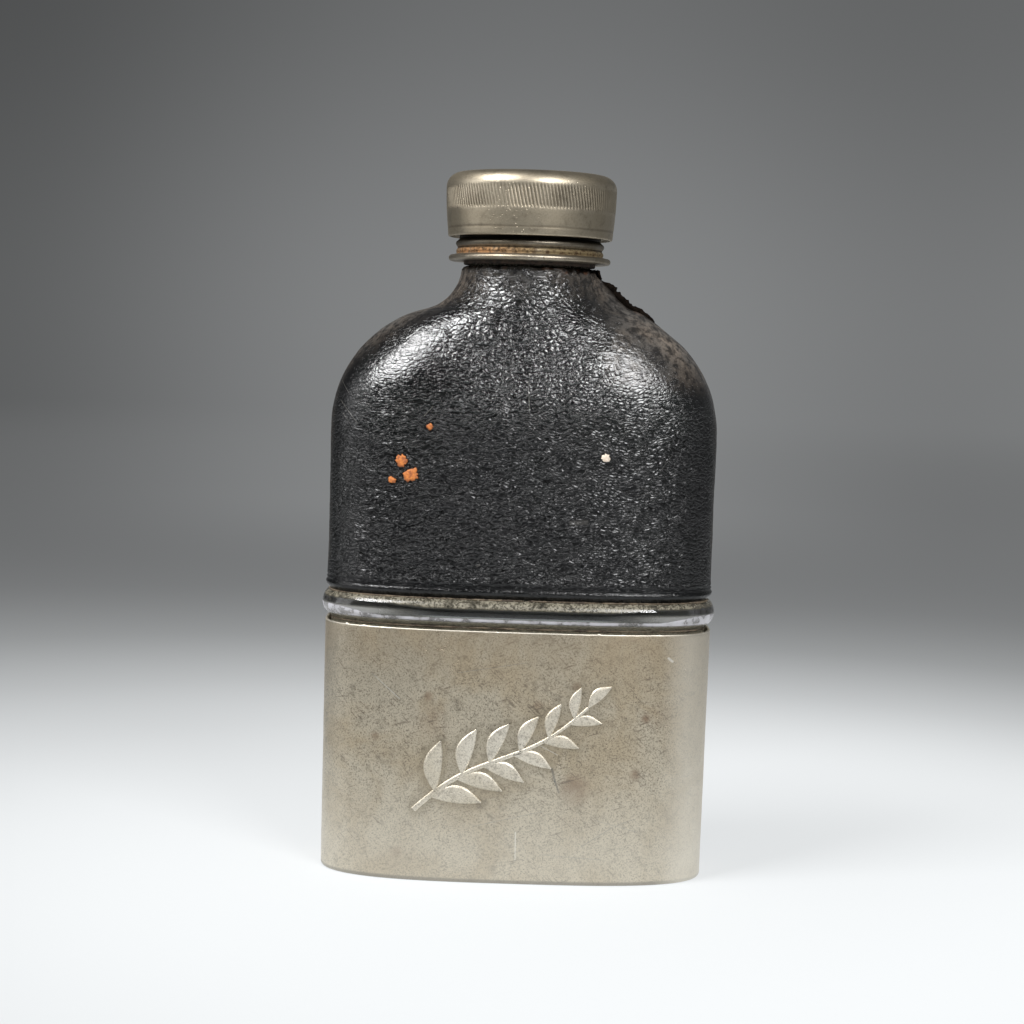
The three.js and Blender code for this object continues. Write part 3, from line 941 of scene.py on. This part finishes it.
def crevice_dirt(name, height, out, thick, seed):
    """A thin irregular bead of dirt that runs round the bottle at a height."""
    shape = (BODY[0] - GLASS_INSET + out, BODY[1] - GLASS_INSET + out)
    angles = even_angles(900)[:-1]
    middle = section(angles, np.array([[*shape, height, SQUARENESS]]))[0]
    outward = unit(middle * [1, 1, 0])
    size = thick * (0.55 + 0.5 * wander(middle, 4.0, seed) + 0.35 * wander(middle, 0.9, seed + 1))
    size = np.clip(size, 0.03, thick)
    rows = []
    for turn in full_turn(8):
        rows.append(middle + outward * (size * math.cos(turn))[:, None]
                    + np.array([0, 0, 1]) * (size * math.sin(turn))[:, None])
    return turned(name, np.array(rows), "bottle", crevice_grime)


# ------------------------------------------------------------------ the leather

FINE = 4  # columns and rows of the leather's face for each one of its lining
PANEL_COLUMNS = 88 * FINE
PANEL_STEP = 0.31  # spacing of its rows, in millimetres


def panel_grid(side):
    """Points of one panel's face: side is -1 for the front and 1 for the back."""
    start = -TURN / 4 if side < 0 else TURN / 4
    angles = even_angles(PANEL_COLUMNS, start, start + TURN / 2)
    outline = shoulder_outline(0.0, LEATHER_LOW, LEATHER_TOP, PANEL_STEP)
    rows = (len(outline) - 1) // FINE * FINE + 1
    keep = np.linspace(0, len(outline) - 1, rows)
    return section(angles, body_rings(read_off(keep, np.arange(len(outline)), outline), 0.0))


def panel_masks(points):
    """How much pebble relief, wear and tear each point of a panel's face has."""
    x, y, z = points.reshape(-1, 3).T
    flat = points.reshape(-1, 3)
    away = np.abs(y)  # distance to the side seam, near enough
    rag = wander(flat, 6.0, 5)
    fine = wander(flat, 1.6, 6)
    right = smooth(11.0, 25.0, x) * smooth(101.0, 112.0, z)
    shoulder = smooth(10.0, 30.0, np.abs(x)) * smooth(104.0, 118.0, z) * (1 - smooth(6.0, 13.0, away))
    neck = smooth(118.0, 127.0, z) * 0.35
    edge = (1 - smooth(2.0, 9.0, away)) * smooth(62.0, 70.0, z) * 0.45
    wear = np.clip(0.75 * right + 0.55 * shoulder + neck + edge + 0.25 * rag * (right + shoulder), 0, 1)
    tear = smooth(20.0, 24.0, z - 95.0) * (1 - smooth(31.0, 33.0, z - 95.0)) * (x > 0)
    torn = np.clip(tear * (1 - smooth(1.2, 4.4, away + 1.4 * rag + 0.9 * fine)), 0, 1)
    ragged_top = smooth(LEATHER_TOP - 1.3, LEATHER_TOP - 0.4, z + 0.6 * fine)
    torn = np.maximum(torn, ragged_top * (0.35 + 0.65 * smooth(4.0, 9.0, x)))
    border = smooth(LEATHER_LOW + 2.6, LEATHER_LOW + 3.4, z)
    rolled = 0.45 * smooth(LEATHER_LOW + 0.4, LEATHER_LOW + 0.9, z)
    seam = smooth(0.5, 1.6, away)
    polished = smooth(9.0, 22.0, np.abs(x)) * smooth(95.0, 104.0, z) * (1 - smooth(119.0, 125.0, z))
    relief = np.maximum(border, rolled) * seam * (1 - torn) * (1 - 0.25 * right) * (1 - 0.6 * polished)
    shine = 0.57 + 0.43 * smooth(90.0, 103.0, z + 2.0 * rag)
    return {"relief": relief, "wear": wear * border, "torn": torn, "shine": shine}


def tear_lift(z):
    """How far the torn edge of the leather has come away from the bottle at each height."""
    return 2.1 * hump(114.5, 128.6, z)


def panel_shift(points, masks):
    """How far each point of a panel's face stands in or out from the CAD surface."""
    flat = points.reshape(-1, 3)
    x, y, z = flat.T
    above = z - LEATHER_LOW
    away = np.abs(y)
    skive = -0.75 * (1 - smooth(0.0, 1.1, above))
    roll = 0.16 * hump(1.0, 2.05, above) - 0.3 * hump(1.75, 2.35, above) + 0.04 * hump(2.1, 2.65, above)
    roll = roll - 0.2 * hump(2.5, 3.1, above)
    seam = -0.55 * (1 - smooth(0.1, 1.3, away)) * (1 - masks["torn"])
    soft = 0.12 * wander(flat, 9.0, 7) + 0.05 * wander(flat, 3.0, 8) - 0.12
    top = -0.35 * smooth(LEATHER_TOP - 0.7, LEATHER_TOP, z)
    lift = tear_lift(z) * (x > 0) * (0.9 + 0.2 * wander(flat, 3.0, 9)) * (1 - smooth(0.5, 8.0, away))
    return skive + roll + seam + soft * smooth(1.0, 5.0, above) + top + lift


def panel_faces(rows, columns, back_rows, back_columns):
    """Faces of a panel: its fine face, its coarse lining, and a strip along each edge."""
    first = rows * columns
    index = np.arange(first).reshape(rows, columns)
    back = first + np.arange(back_rows * back_columns).reshape(back_rows, back_columns)
    faces = grid_faces(rows, columns, False)
    faces += [quad[::-1] for quad in grid_faces(back_rows, back_columns, False, first)]
    rims = ((index[0], back[0], False), (index[-1], back[-1], True),
            (index[:, 0], back[:, 0], True), (index[:, -1], back[:, -1], False))
    for fine_line, coarse_line, flip in rims:
        for i in range(len(coarse_line) - 1):
            strip = [coarse_line[i], coarse_line[i + 1], *fine_line[i * FINE:(i + 1) * FINE + 1][::-1]]
            faces.append([int(v) for v in (strip[::-1] if flip else strip)])
    return faces


def leather_panel(side):
    """One panel: a finely displaced face, a plain lining, and a border that joins the two."""
    face = panel_grid(side)
    masks = panel_masks(face)
    outward = grid_normals(face, False)
    shift = panel_shift(face, masks).reshape(face.shape[:2])
    lining = (face - outward * LEATHER_THICKNESS)[::FINE, ::FINE]
    lining = lining + np.maximum(shift, 0)[::FINE, ::FINE, None] * outward[::FINE, ::FINE]
    face = face + outward * shift[..., None]
    jag = wander(face.reshape(-1, 3), 1.1, 11).reshape(face.shape[:2])
    top_rows = smooth(LEATHER_TOP - 2.0, LEATHER_TOP, face[..., 2])
    face[..., 2] += top_rows * (0.45 * jag - 0.25) * (1 + smooth(3.0, 9.0, face[..., 0]))
    for sheet in (face, lining):
        sheet[..., 1] = side * np.maximum(np.abs(sheet[..., 1]), SEAM_HALF_GAP)
    points = np.concatenate([face.reshape(-1, 3), lining.reshape(-1, 3)])
    plain = np.zeros(lining.shape[0] * lining.shape[1])
    values = {key: np.concatenate([mask, plain + (key == "torn")]) for key, mask in masks.items()}
    name = "front" if side < 0 else "back"
    faces = panel_faces(*face.shape[:2], *lining.shape[:2])
    obj = add_object(f"leather_{name}_cover", points, faces, "bottle", leather_black,
                     [f"leather_{name}_panel"], values)
    press_grain(obj)
    return obj


def grain_tree():
    """Geometry nodes that press the pebbled grain into a mesh, as deep as its relief attribute says."""
    tree = bpy.data.node_groups.new("press_grain", "GeometryNodeTree")
    for way in ("INPUT", "OUTPUT"):
        tree.interface.new_socket("Geometry", in_out=way, socket_type="NodeSocketGeometry")
    source = new_field(tree, "NodeGroupInput", {})
    position = new_field(tree, "GeometryNodeInputPosition", {})
    normal = new_field(tree, "GeometryNodeInputNormal", {})
    relief = new_field(tree, "GeometryNodeInputNamedAttribute", {"Name": "relief"}, data_type="FLOAT")
    depth = (pebbles(position) - 1.0) * (GRAIN_DEPTH * PRESSED_SHARE) * relief
    offset = new_field(tree, "ShaderNodeVectorMath", {0: normal, "Scale": depth}, operation="SCALE")
    moved = new_field(tree, "GeometryNodeSetPosition", {"Geometry": source, "Offset": offset})
    add_node(tree, "NodeGroupOutput", {0: moved})
    return tree


def press_grain(obj):
    """Displaces an object's mesh by the grain, for good."""
    tree = bpy.data.node_groups.get("press_grain") or grain_tree()
    modifier = obj.modifiers.new("grain", "NODES")
    modifier.node_group = tree
    graph = bpy.context.evaluated_depsgraph_get()
    pressed = bpy.data.meshes.new_from_object(obj.evaluated_get(graph))
    plain = obj.data
    obj.modifiers.clear()
    obj.data = pressed
    bpy.data.meshes.remove(plain)
    pressed.name = obj.name


TORN_FLAPS = (  # name, lowest and highest z, the y it stands at, height, width, seed of its noise
    ("leather_torn_front", (116.9, 125.8), -0.75, 1.4, 1.4, 41),
    ("leather_torn_back", (117.6, 125.2), 0.8, 1.1, 1.3, 51),
    ("leather_torn_top", (125.6, 128.6), -2.8, 0.35, 2.2, 71),
)


def torn_flap(name, span, middle, height, width, seed):
    """A ragged, curled strip of torn leather that stands up along the right side's seam.
    span gives its lowest and highest z, middle the y that it stands at."""
    outline = shoulder_outline(0.0, LEATHER_LOW, LEATHER_TOP, 0.13)
    outline = outline[(outline[:, 1] > span[0]) & (outline[:, 1] < span[1])]
    count = len(outline)
    along = unit(np.gradient(outline, axis=0))
    out = np.stack([along[:, 1], 0 * along[:, 0], -along[:, 0]], 1)
    base = np.stack([outline[:, 0], np.full(count, middle), outline[:, 1]], 1)
    base = base + out * 0.9 * tear_lift(outline[:, 1])[:, None]
    share = np.linspace(0, 1, count)
    ends = smooth(0.0, 0.05, share) * (1 - smooth(0.88, 1.0, share))
    ends = ends * (0.35 + 0.65 * smooth(0.1, 0.5, share))
    rag = 0.8 + 0.55 * wander(base, 3.3, seed) + 0.3 * wander(base, 1.3, seed + 1)
    rag = rag + 0.3 * wander(base, 0.6, seed + 2)
    tall = np.clip(height * rag, 0.15, height * 1.25) * ends
    lean = width * (0.25 * wander(base, 2.4, seed + 3) + 0.15 * wander(base, 0.7, seed + 4))
    rows = []
    for turn in full_turn(14):
        side, up = math.cos(turn), math.sin(turn)
        crumple = 1 + 0.22 * wander(base + [0, 3 * side, 3 * up], 1.4, seed + 5)
        y = side * width / 2 * crumple * (0.4 + 0.6 * ends) + lean * max(up, 0)
        lift = np.where(up > 0, tall * abs(up) ** 0.7 * crumple, -0.5 * abs(up))
        rows.append(base + out * lift[:, None] + np.array([0, 1, 0]) * y[:, None])
    points = np.array(rows).transpose(1, 0, 2)
    for end in (0, -1):
        points[end] = points[end].mean(0)
    values = {"torn": np.ones(points.shape[0] * points.shape[1])}
    return turned(name, points, "bottle", leather_black, attributes=values)


# ------------------------------------------------------------------ flecks of paint on the leather

FLECK_HEIGHT = 0.22
FLECK_PROFILE = (  # share of the way out to the fleck's edge, share of its height
    (0.0, 1.0), (0.35, 0.95), (0.7, 0.85), (0.92, 0.55), (1.0, 0.0), (0.9, -0.6), (0.0, -0.6),
)
ORANGE_FLECKS = (  # x, z, width, height
    (-25.1, 87.2, 2.9, 3.0),
    (-23.0, 84.4, 3.8, 3.3),
    (-26.9, 83.2, 1.9, 1.6),
    (-19.4, 94.4, 1.6, 1.6),
)


def leather_front_point(x, z):
    """A point of the front panel's face."""
    outline = shoulder_outline(0.0, LEATHER_LOW, LEATHER_TOP, 0.5)
    ring = body_rings([(np.interp(z, outline[:, 1], outline[:, 0]), z)], 0.0)[0]
    y = -ring[1] * (1 - abs(x / ring[0]) ** ring[3]) ** (1 / ring[3])
    return np.array([x, y, z])


def noise_round(angle, radius, layer):
    """Noise read on a circle, so that it closes on itself."""
    return noise.noise((radius * math.cos(angle), radius * math.sin(angle), layer))


def paint_fleck(name, x, z, size, seed, material):
    """A crusty fleck of dried paint with an irregular edge."""
    centre = leather_front_point(x, z)
    right = leather_front_point(x + 0.5, z) - leather_front_point(x - 0.5, z)
    up = leather_front_point(x, z + 0.5) - leather_front_point(x, z - 0.5)
    right /= np.linalg.norm(right)
    up /= np.linalg.norm(up)
    out = np.cross(right, up)
    angles = full_turn(48)
    edge = [0.85 + 0.28 * noise_round(a, 0.9, seed) + 0.3 * noise_round(a, 3.4, seed + 9) for a in angles]
    grid = []
    for share, lift in FLECK_PROFILE:
        line = []
        for a, reach in zip(angles, edge):
            spot = centre + right * (share * reach * size[0] / 2 * math.cos(a))
            spot = spot + up * (share * reach * size[1] / 2 * math.sin(a))
            rough = 0.2 * noise.noise(Vector(spot * 2.2)) if share < 0.95 else 0.0
            line.append(spot + out * (FLECK_HEIGHT * (lift + rough)))
        grid.append(line)
    return turned(name, np.array(grid)[::-1], "bottle", material)


# ------------------------------------------------------------------ collar, cement, cap

def thread_height(angles, z, start, turns, phase):
    """Height, 0 to 1, of a screw thread at each angle and height of a grid."""
    along = (z - start) / THREAD_PITCH - (angles / TURN - phase)
    nearest = np.round(along)
    total = nearest + angles / TURN - phase
    off = np.abs(along - nearest) * THREAD_PITCH
    crest = 1 - smooth(0.3, 0.85, off)
    fade = smooth(0.0, 0.12, total) * (1 - smooth(turns - 0.12, turns, total))
    return crest * fade


COLLAR_OUTER = 14.9  # radius of the collar's wall
COLLAR_INNER = 14.1
COLLAR_MOUTH = 11.0  # radius of its turned-in lip


def collar_profile(low, top):
    """(radius, height) pairs of the collar: flange, rounded band, bead, wall, lip and inside."""
    flange = collar_high[0]
    outer, inner, mouth = COLLAR_OUTER, COLLAR_INNER, COLLAR_MOUTH
    pairs = [(inner, low + 0.2), (inner + 0.2, low), (flange - 0.65, low)]
    pairs += quarter(flange - 0.65, low + 0.65, 0.65, -90, 100, 14)[1:]
    pairs += [(outer + 0.75, low + 1.5), (outer + 0.5, low + 1.62), (outer + 0.62, low + 1.9),
              (outer + 0.66, low + 2.15), (outer + 0.55, low + 2.45), (outer + 0.3, low + 2.75)]
    pairs += [(outer + 0.36, low + 2.95), (outer + 0.62, low + 3.3), (outer + 0.78, low + 3.7),
              (outer + 0.62, low + 4.1), (outer + 0.2, low + 4.45), (outer, low + 4.7)]
    pairs += [(outer, top - 0.4), *quarter(outer - 0.4, top - 0.4, 0.4, 0, 90, 5), (mouth + 0.25, top)]
    pairs += quarter(mouth + 0.25, top - 0.25, 0.25, 90, 270, 6)[1:]
    pairs += [(inner - 0.2, top - 0.5), (inner, top - 0.7), (inner, low + 0.2)]
    return pairs


def neck_collar():
    """Spun collar: rolled flange, rounded band, bead, screw thread and turned-in lip."""
    low, top = collar_low[2], collar_high[2]
    rings = round_rings(collar_profile(low, top), 0.16)[:-1]
    angles = full_turn(384)
    points = section(angles + TURN / 4, rings)
    z = points[..., 2]
    radius = np.hypot(points[..., 0], points[..., 1])
    outside = (radius > COLLAR_OUTER - 0.05) & (z > low + 4.6)
    crest = thread_height(angles[None], z, THREAD_START, 2.0, 0.0) * outside
    stretch = (radius + THREAD_HEIGHT * crest) / radius
    stretch_round(points, stretch)
    groove = smooth(low + 1.25, low + 1.6, z) * (1 - smooth(low + 2.6, low + 3.4, z))
    # Painted shade: black under the cap's skirt, in the groove between band and bead, half as dark on the
    # bead, lighter on the thread's crests.
    collar_shade = smooth(low + 4.2, low + 4.7, z) * (1 - 0.7 * crest)
    collar_shade = np.maximum(collar_shade, 0.85 * hump(low + 2.4, low + 3.2, z))
    collar_shade = np.maximum(collar_shade, 0.5 * smooth(low + 2.8, low + 3.3, z))
    collar_shade = collar_shade * (1 - 0.5 * smooth(low + 5.8, low + 7.4, z))
    return turned("neck_collar_spun", points, "bottle", collar_metal, ["neck_collar"],
                  {"groove": np.clip(groove, 0, 1), "collar_shade": collar_shade})


CEMENT_BORE = 12.2
LINER_BORE = 15.9
LINER_SHEET = 0.5


def collar_cement():
    """The cement ring, crumbly where it shows under the flange."""
    low, top = cement_low[2], cement_high[2]
    inner, outer, slope = CEMENT_BORE, cement_high[0], 0.9
    pairs = [(inner, low + slope), (outer - 0.15, low), (outer, low + 0.15), (outer, top), (inner, top)]
    points = section(full_turn(256), round_rings(pairs, 0.5))
    flat = points.reshape(-1, 3)
    crumble = -0.12 * np.abs(wander(flat, 0.9, 12)) * (flat[:, 2] < low + 2)
    flat = flat * np.stack([1 + crumble / outer, 1 + crumble / outer, 1 + 0 * crumble], 1)
    return turned("collar_cement_ring", flat.reshape(points.shape), "bottle", neck_cement,
                  ["collar_cement"])


REEDS = 152
REED_COLUMNS = 8  # columns of the mesh for each reed
REED_BAND = (139.4, 144.6)
REED_SLANT = math.tan(math.radians(12))
REED_DEPTH = 0.16
SCORE_LINE = 135.8
CAP_WALL_TOP = cap_high[2] - CAP_DOME - CAP_CORNER


def cap_wall_radius(z):
    """Radius of the cap's barrelled wall, widest just below its corner."""
    share = (z - cap_low[2]) / (CAP_WALL_TOP - cap_low[2])
    return CAP_MOUTH + (CAP_BELLY - CAP_MOUTH) * math.sin(math.pi / 2 * min(1.0, max(0.0, share)))


def cap_profile():
    """(radius, height) pairs of the cap's sheet, inside from the top down and outside going up."""
    low, top = cap_low[2], cap_high[2]
    mouth = cap_wall_radius(low)
    outside = [(mouth - 0.3, low), (mouth - 0.08, low + 0.06), (cap_wall_radius(low + 0.3), low + 0.3)]
    outside += [(cap_wall_radius(z), z) for z in np.arange(low + 0.6, CAP_WALL_TOP, 0.22)]
    outside += quarter(CAP_BELLY - CAP_CORNER, CAP_WALL_TOP, CAP_CORNER, 0, 90, 18)
    reach = CAP_BELLY - CAP_CORNER
    outside += [(reach * k, top - CAP_DOME * k ** 2) for k in (0.85, 0.7, 0.55, 0.4, 0.25, 0.1)]
    outside += [(0.0, top)]
    sheet = CAP_SHEET
    inside = [(0.0, top - sheet), (reach * 0.5, top - sheet - 0.12)]
    inside += [(reach, CAP_WALL_TOP + CAP_CORNER - sheet)]
    inside += quarter(reach, CAP_WALL_TOP, CAP_CORNER - sheet, 90, 0, 5)[1:]
    inside += [(cap_wall_radius(low + 5) - sheet, low + 5), (mouth - sheet, low)]
    return inside, outside


def cap_shell():
    """The cap: barrelled wall with a scored line and slanting reeds, round corner, low dome."""
    inside, outside = cap_profile()
    angles = full_turn(REEDS * REED_COLUMNS)
    rings = np.array([(r, r, z, ROUND) for r, z in inside + outside])
    points = section(angles, rings)
    shown = np.arange(len(rings)) >= len(inside)
    z = points[..., 2]
    band = smooth(REED_BAND[0], REED_BAND[0] + 0.7, z) * (1 - smooth(REED_BAND[1] - 0.9, REED_BAND[1], z))
    phase = REEDS * (angles[None] + REED_SLANT * z / CAP_BELLY) / TURN
    wave = 0.5 + 0.5 * np.cos(TURN * phase)
    worn = 0.8 + 0.55 * wander(points.reshape(-1, 3), 5.0, 13).reshape(z.shape)
    reed = (1 - wave) ** 1.5 * band * np.clip(worn, 0.15, 1.0) * shown[:, None]
    score = np.exp(-((z - SCORE_LINE) / 0.13) ** 2) * shown[:, None]
    soft = 0.03 * wander(points.reshape(-1, 3), 6.0, 14).reshape(z.shape) * shown[:, None]
    radius = np.hypot(points[..., 0], points[..., 1])
    sink = REED_DEPTH * reed + 0.08 * score + np.abs(soft)
    stretch = np.where(radius > 1, (radius - sink) / np.maximum(radius, 1), 1)
    stretch_round(points, stretch)
    groove = np.clip(reed + 0.8 * score, 0, 1)
    return turned("cap_shell_reeded", points, "cap", cap_metal, ["cap_shell"],
                  {"groove": groove})


def cap_liner():
    """The threaded liner pressed into the cap."""
    low, top = liner_low[2], liner_high[2]
    outer, inner, sheet = liner_high[0], LINER_BORE, LINER_SHEET
    pairs = [(0, top - sheet), (inner - 0.4, top - sheet), (inner, top - sheet - 0.4), (inner, low + 0.2),
             (inner + 0.25, low), (outer, low + 0.2), (outer, top - 0.6), (outer - 0.6, top), (0, top)]
    rings = round_rings(pairs, 0.16)
    flat_top = (rings[:, 2] > top - sheet - 0.05) & (rings[:, 0] > 0.5) & (rings[:, 0] < inner - 1)
    rings = rings[~flat_top | (np.arange(len(rings)) % 12 == 0)]
    angles = full_turn(288)
    points = section(angles + TURN / 4, rings)
    z = points[..., 2]
    radius = np.hypot(points[..., 0], points[..., 1])
    inside = (radius > inner - 0.05) & (radius < inner + 0.05) & (z < top - sheet - 0.3)
    crest = thread_height(angles[None], z, THREAD_START + THREAD_PITCH / 6, 1.5, -1 / 3) * inside
    stretch = np.where(radius > 1, (radius - THREAD_HEIGHT * crest) / np.maximum(radius, 1), 1)
    stretch_round(points, stretch)
    return turned("cap_liner_threaded", points, "cap", inner_metal, ["cap_thread_liner"])


def cork_disc():
    """The cork disc, a little rounded and pitted at its edge."""
    low, top, radius = cork_low[2], cork_high[2], cork_high[0]
    pairs = [(0, low), (radius - 0.4, low), (radius, low + 0.4), (radius, top - 0.4), (radius - 0.4, top),
             (0, top)]
    points = section(full_turn(128), round_rings(pairs, 0.8))
    return turned("cap_cork_seal", points, "cap_seal", seal_cork, ["cap_cork_disc"])


# ------------------------------------------------------------------ stage, light and camera

def ramp(value, stops):
    """A colour from stops of (value, (r, g, b)), read at a value between 0 and 1."""
    made = add_node(value.tree, "ShaderNodeValToRGB", {0: value})
    made.color_ramp.interpolation = "B_SPLINE"
    elements = made.color_ramp.elements
    while len(elements) < len(stops):
        elements.new(0.5)
    for element, (place, colour) in zip(elements, stops):
        element.position = place
        element.color = (*colour, 1.0)
    return Field(made.outputs[0])


FLOOR_SIZE = 20.0  # metres from its middle to its edge
FLOOR_REACH = 2.0  # metres from the flask at which the floor has faded into the background
FLOOR_TONES = (  # metres from the flask, share of light it reflects, light it gives out
    (0.0, 0.2, 0.66),
    (0.10, 0.2, 0.66),
    (0.17, 0.2, 0.575),
    (0.256, 0.17, 0.37),
    (0.363, 0.12, 0.2),
    (0.515, 0.07, 0.14),
    (0.742, 0.03, 0.155),
    (1.2, 0.0, 0.155),
    (2.0, 0.0, 0.155),
)
BACKDROP = (0.974, 1.0, 1.012)  # tint of the floor's far end and of the background
SIDEWAYS = (-0.5, 0.5, 0.6, 1.4)  # the room's brightness from its left side to its right
POOL = (0.04, 0.23, 0.52, 0.0)  # extra brightness of the backdrop, by the distance from the pool's middle
ROOM_FRONT = (0.0, -0.459, 0.0)  # the place on the floor from which the backdrop's pool is central


def tinted(tone):
    """A grey with the backdrop's tint."""
    return tuple(tone * c for c in BACKDROP)


def direction_of(place):
    """The unit vector towards a place."""
    return calc("NORMALIZE", place, (0, 0, 0))


def pool_of_light(direction):
    """Extra light on the backdrop around the direction straight behind the flask."""
    return step(length_of((direction + (0.015, 0, 0)) * (1, 0, 0.6)), *POOL)


def floor_paper():
    """Pale paper near the flask, which turns into the grey backdrop farther away."""
    material, shader, place = new_material("floor_paper")
    distance = length_of(place)
    share = (distance / FLOOR_REACH).clamped()
    for column, socket in ((1, "Base Color"), (2, "Emission Color")):
        stops = [(tone[0] / FLOOR_REACH, tinted(tone[column])) for tone in FLOOR_TONES]
        feed(shader.inputs[socket], ramp(share, stops))
    from_front = direction_of(place - ROOM_FRONT)
    pool = pool_of_light(from_front) * step(distance, 0.3, 1.1)
    sideways = (step(split(from_front)[0], *SIDEWAYS) - 1.0) * step(distance, 0.5, 3.2)
    near = step(distance, 0.05, 0.2, 0.0, 0.22) * step(distance, 0.6, 2.0, 1.0, 0.0)
    glow = (pool + sideways) + (split(direction_of(place))[0] * near + 1.0)
    feed_all(shader, {"Emission Strength": glow, "Roughness": 1.0, "Specular IOR Level": 0.0})
    return material


def floor():
    """A wide floor at the flask's foot."""
    mesh = bpy.data.meshes.new("floor")
    corners = [(x * FLOOR_SIZE, y * FLOOR_SIZE, 0) for x, y in ((-1, -1), (1, -1), (1, 1), (-1, 1))]
    mesh.from_pydata(corners, [], [(0, 1, 2, 3)])
    mesh.materials.append(floor_paper())
    put_in_scene("floor", mesh)


def area_light(name, direction, distance, target, size, power):
    """A softbox that faces target from a direction; lengths are in millimetres, power in watts."""
    data = bpy.data.lights.new(name, "AREA")
    data.shape = "RECTANGLE"
    data.size, data.size_y = size[0] * MM, size[1] * MM
    data.energy = power
    obj = put_in_scene(name, data)
    away = Vector(direction).normalized()
    obj.location = (Vector(target) + away * distance) * MM
    obj.rotation_euler = (-away).to_track_quat("-Z", "Y").to_euler()


SOFTBOXES = (  # name, direction from its target, distance, target, size, power
    ("key_left", (-0.574, -0.406, 0.714), 790, (0, 0, 105), (360, 360), 8.6),
    ("key_right", (0.392, -0.729, 0.560), 820, (0, 0, 105), (300, 300), 5.4),
    ("fill_left", (-0.96, -0.15, 0.24), 800, (0, 0, 90), (420, 420), 0.9),
)
ROOM_LOW = 0.155  # grey of the room at the horizon
ROOM_HIGH = 0.108  # and of the room higher up


def lights():
    """Three softboxes and a grey room that is a little darker on the left and higher up."""
    for softbox in SOFTBOXES:
        area_light(*softbox)
    world = bpy.data.worlds.new("studio")
    bpy.context.scene.world = world
    world.use_nodes = True
    direction = new_field(world.node_tree, "ShaderNodeTexCoord", {}, "Generated")
    across, _, height = split(direction)
    feed_all(world.node_tree.nodes["Background"], {
        "Color": mix(step(height, 0.0, 0.17), tinted(ROOM_LOW), tinted(ROOM_HIGH)),
        "Strength": step(across, *SIDEWAYS) + pool_of_light(direction),
    })


CAMERA_PLACE = (-3.48, -458.88, 112.14)
CAMERA_ANGLES = (4.491, 0.186, 1.855)  # pitch down, yaw to the right and roll, in degrees
CAMERA_LENS = 75.88
CAMERA_SENSOR = 36


def camera():
    """The camera at the reference view: in front, a little above, rolled by a small angle."""
    place = Vector(CAMERA_PLACE) * MM
    pitch, yaw, roll = (math.radians(a) for a in CAMERA_ANGLES)
    ahead = Vector((math.sin(yaw) * math.cos(pitch), math.cos(yaw) * math.cos(pitch), -math.sin(pitch)))
    level = Vector((math.cos(yaw), -math.sin(yaw), 0))
    above = level.cross(ahead)
    right = level * math.cos(roll) + above * math.sin(roll)
    top = -level * math.sin(roll) + above * math.cos(roll)
    data = bpy.data.cameras.new("camera")
    data.lens, data.sensor_width = CAMERA_LENS, CAMERA_SENSOR
    data.clip_start, data.clip_end = 0.01, 50
    obj = put_in_scene("camera", data)
    turn = Matrix((right, top, -ahead)).transposed().to_4x4()
    obj.matrix_world = Matrix.Translation(place) @ turn
    bpy.context.scene.camera = obj


# ------------------------------------------------------------------ assembly

bpy.context.scene.view_settings.view_transform = "Standard"
camera()
lights()
floor()

cup_wall()
cup_base()
cup_sprig()
glass_bottle()
for dirt_ring in DIRT_RINGS:
    crevice_dirt(*dirt_ring)
for side in (-1, 1):
    leather_panel(side)
for flap in TORN_FLAPS:
    torn_flap(*flap)
for number, (x, z, width, height) in enumerate(ORANGE_FLECKS):
    paint_fleck(f"paint_fleck_{number + 1}", x, z, (width, height), number * 3.7, orange_paint)
paint_fleck("paint_fleck_pale", 16.8, 89.2, (2.0, 2.0), 40.0, pale_paint)
neck_collar()
collar_cement()
cap_shell()
cap_liner()
cork_disc()
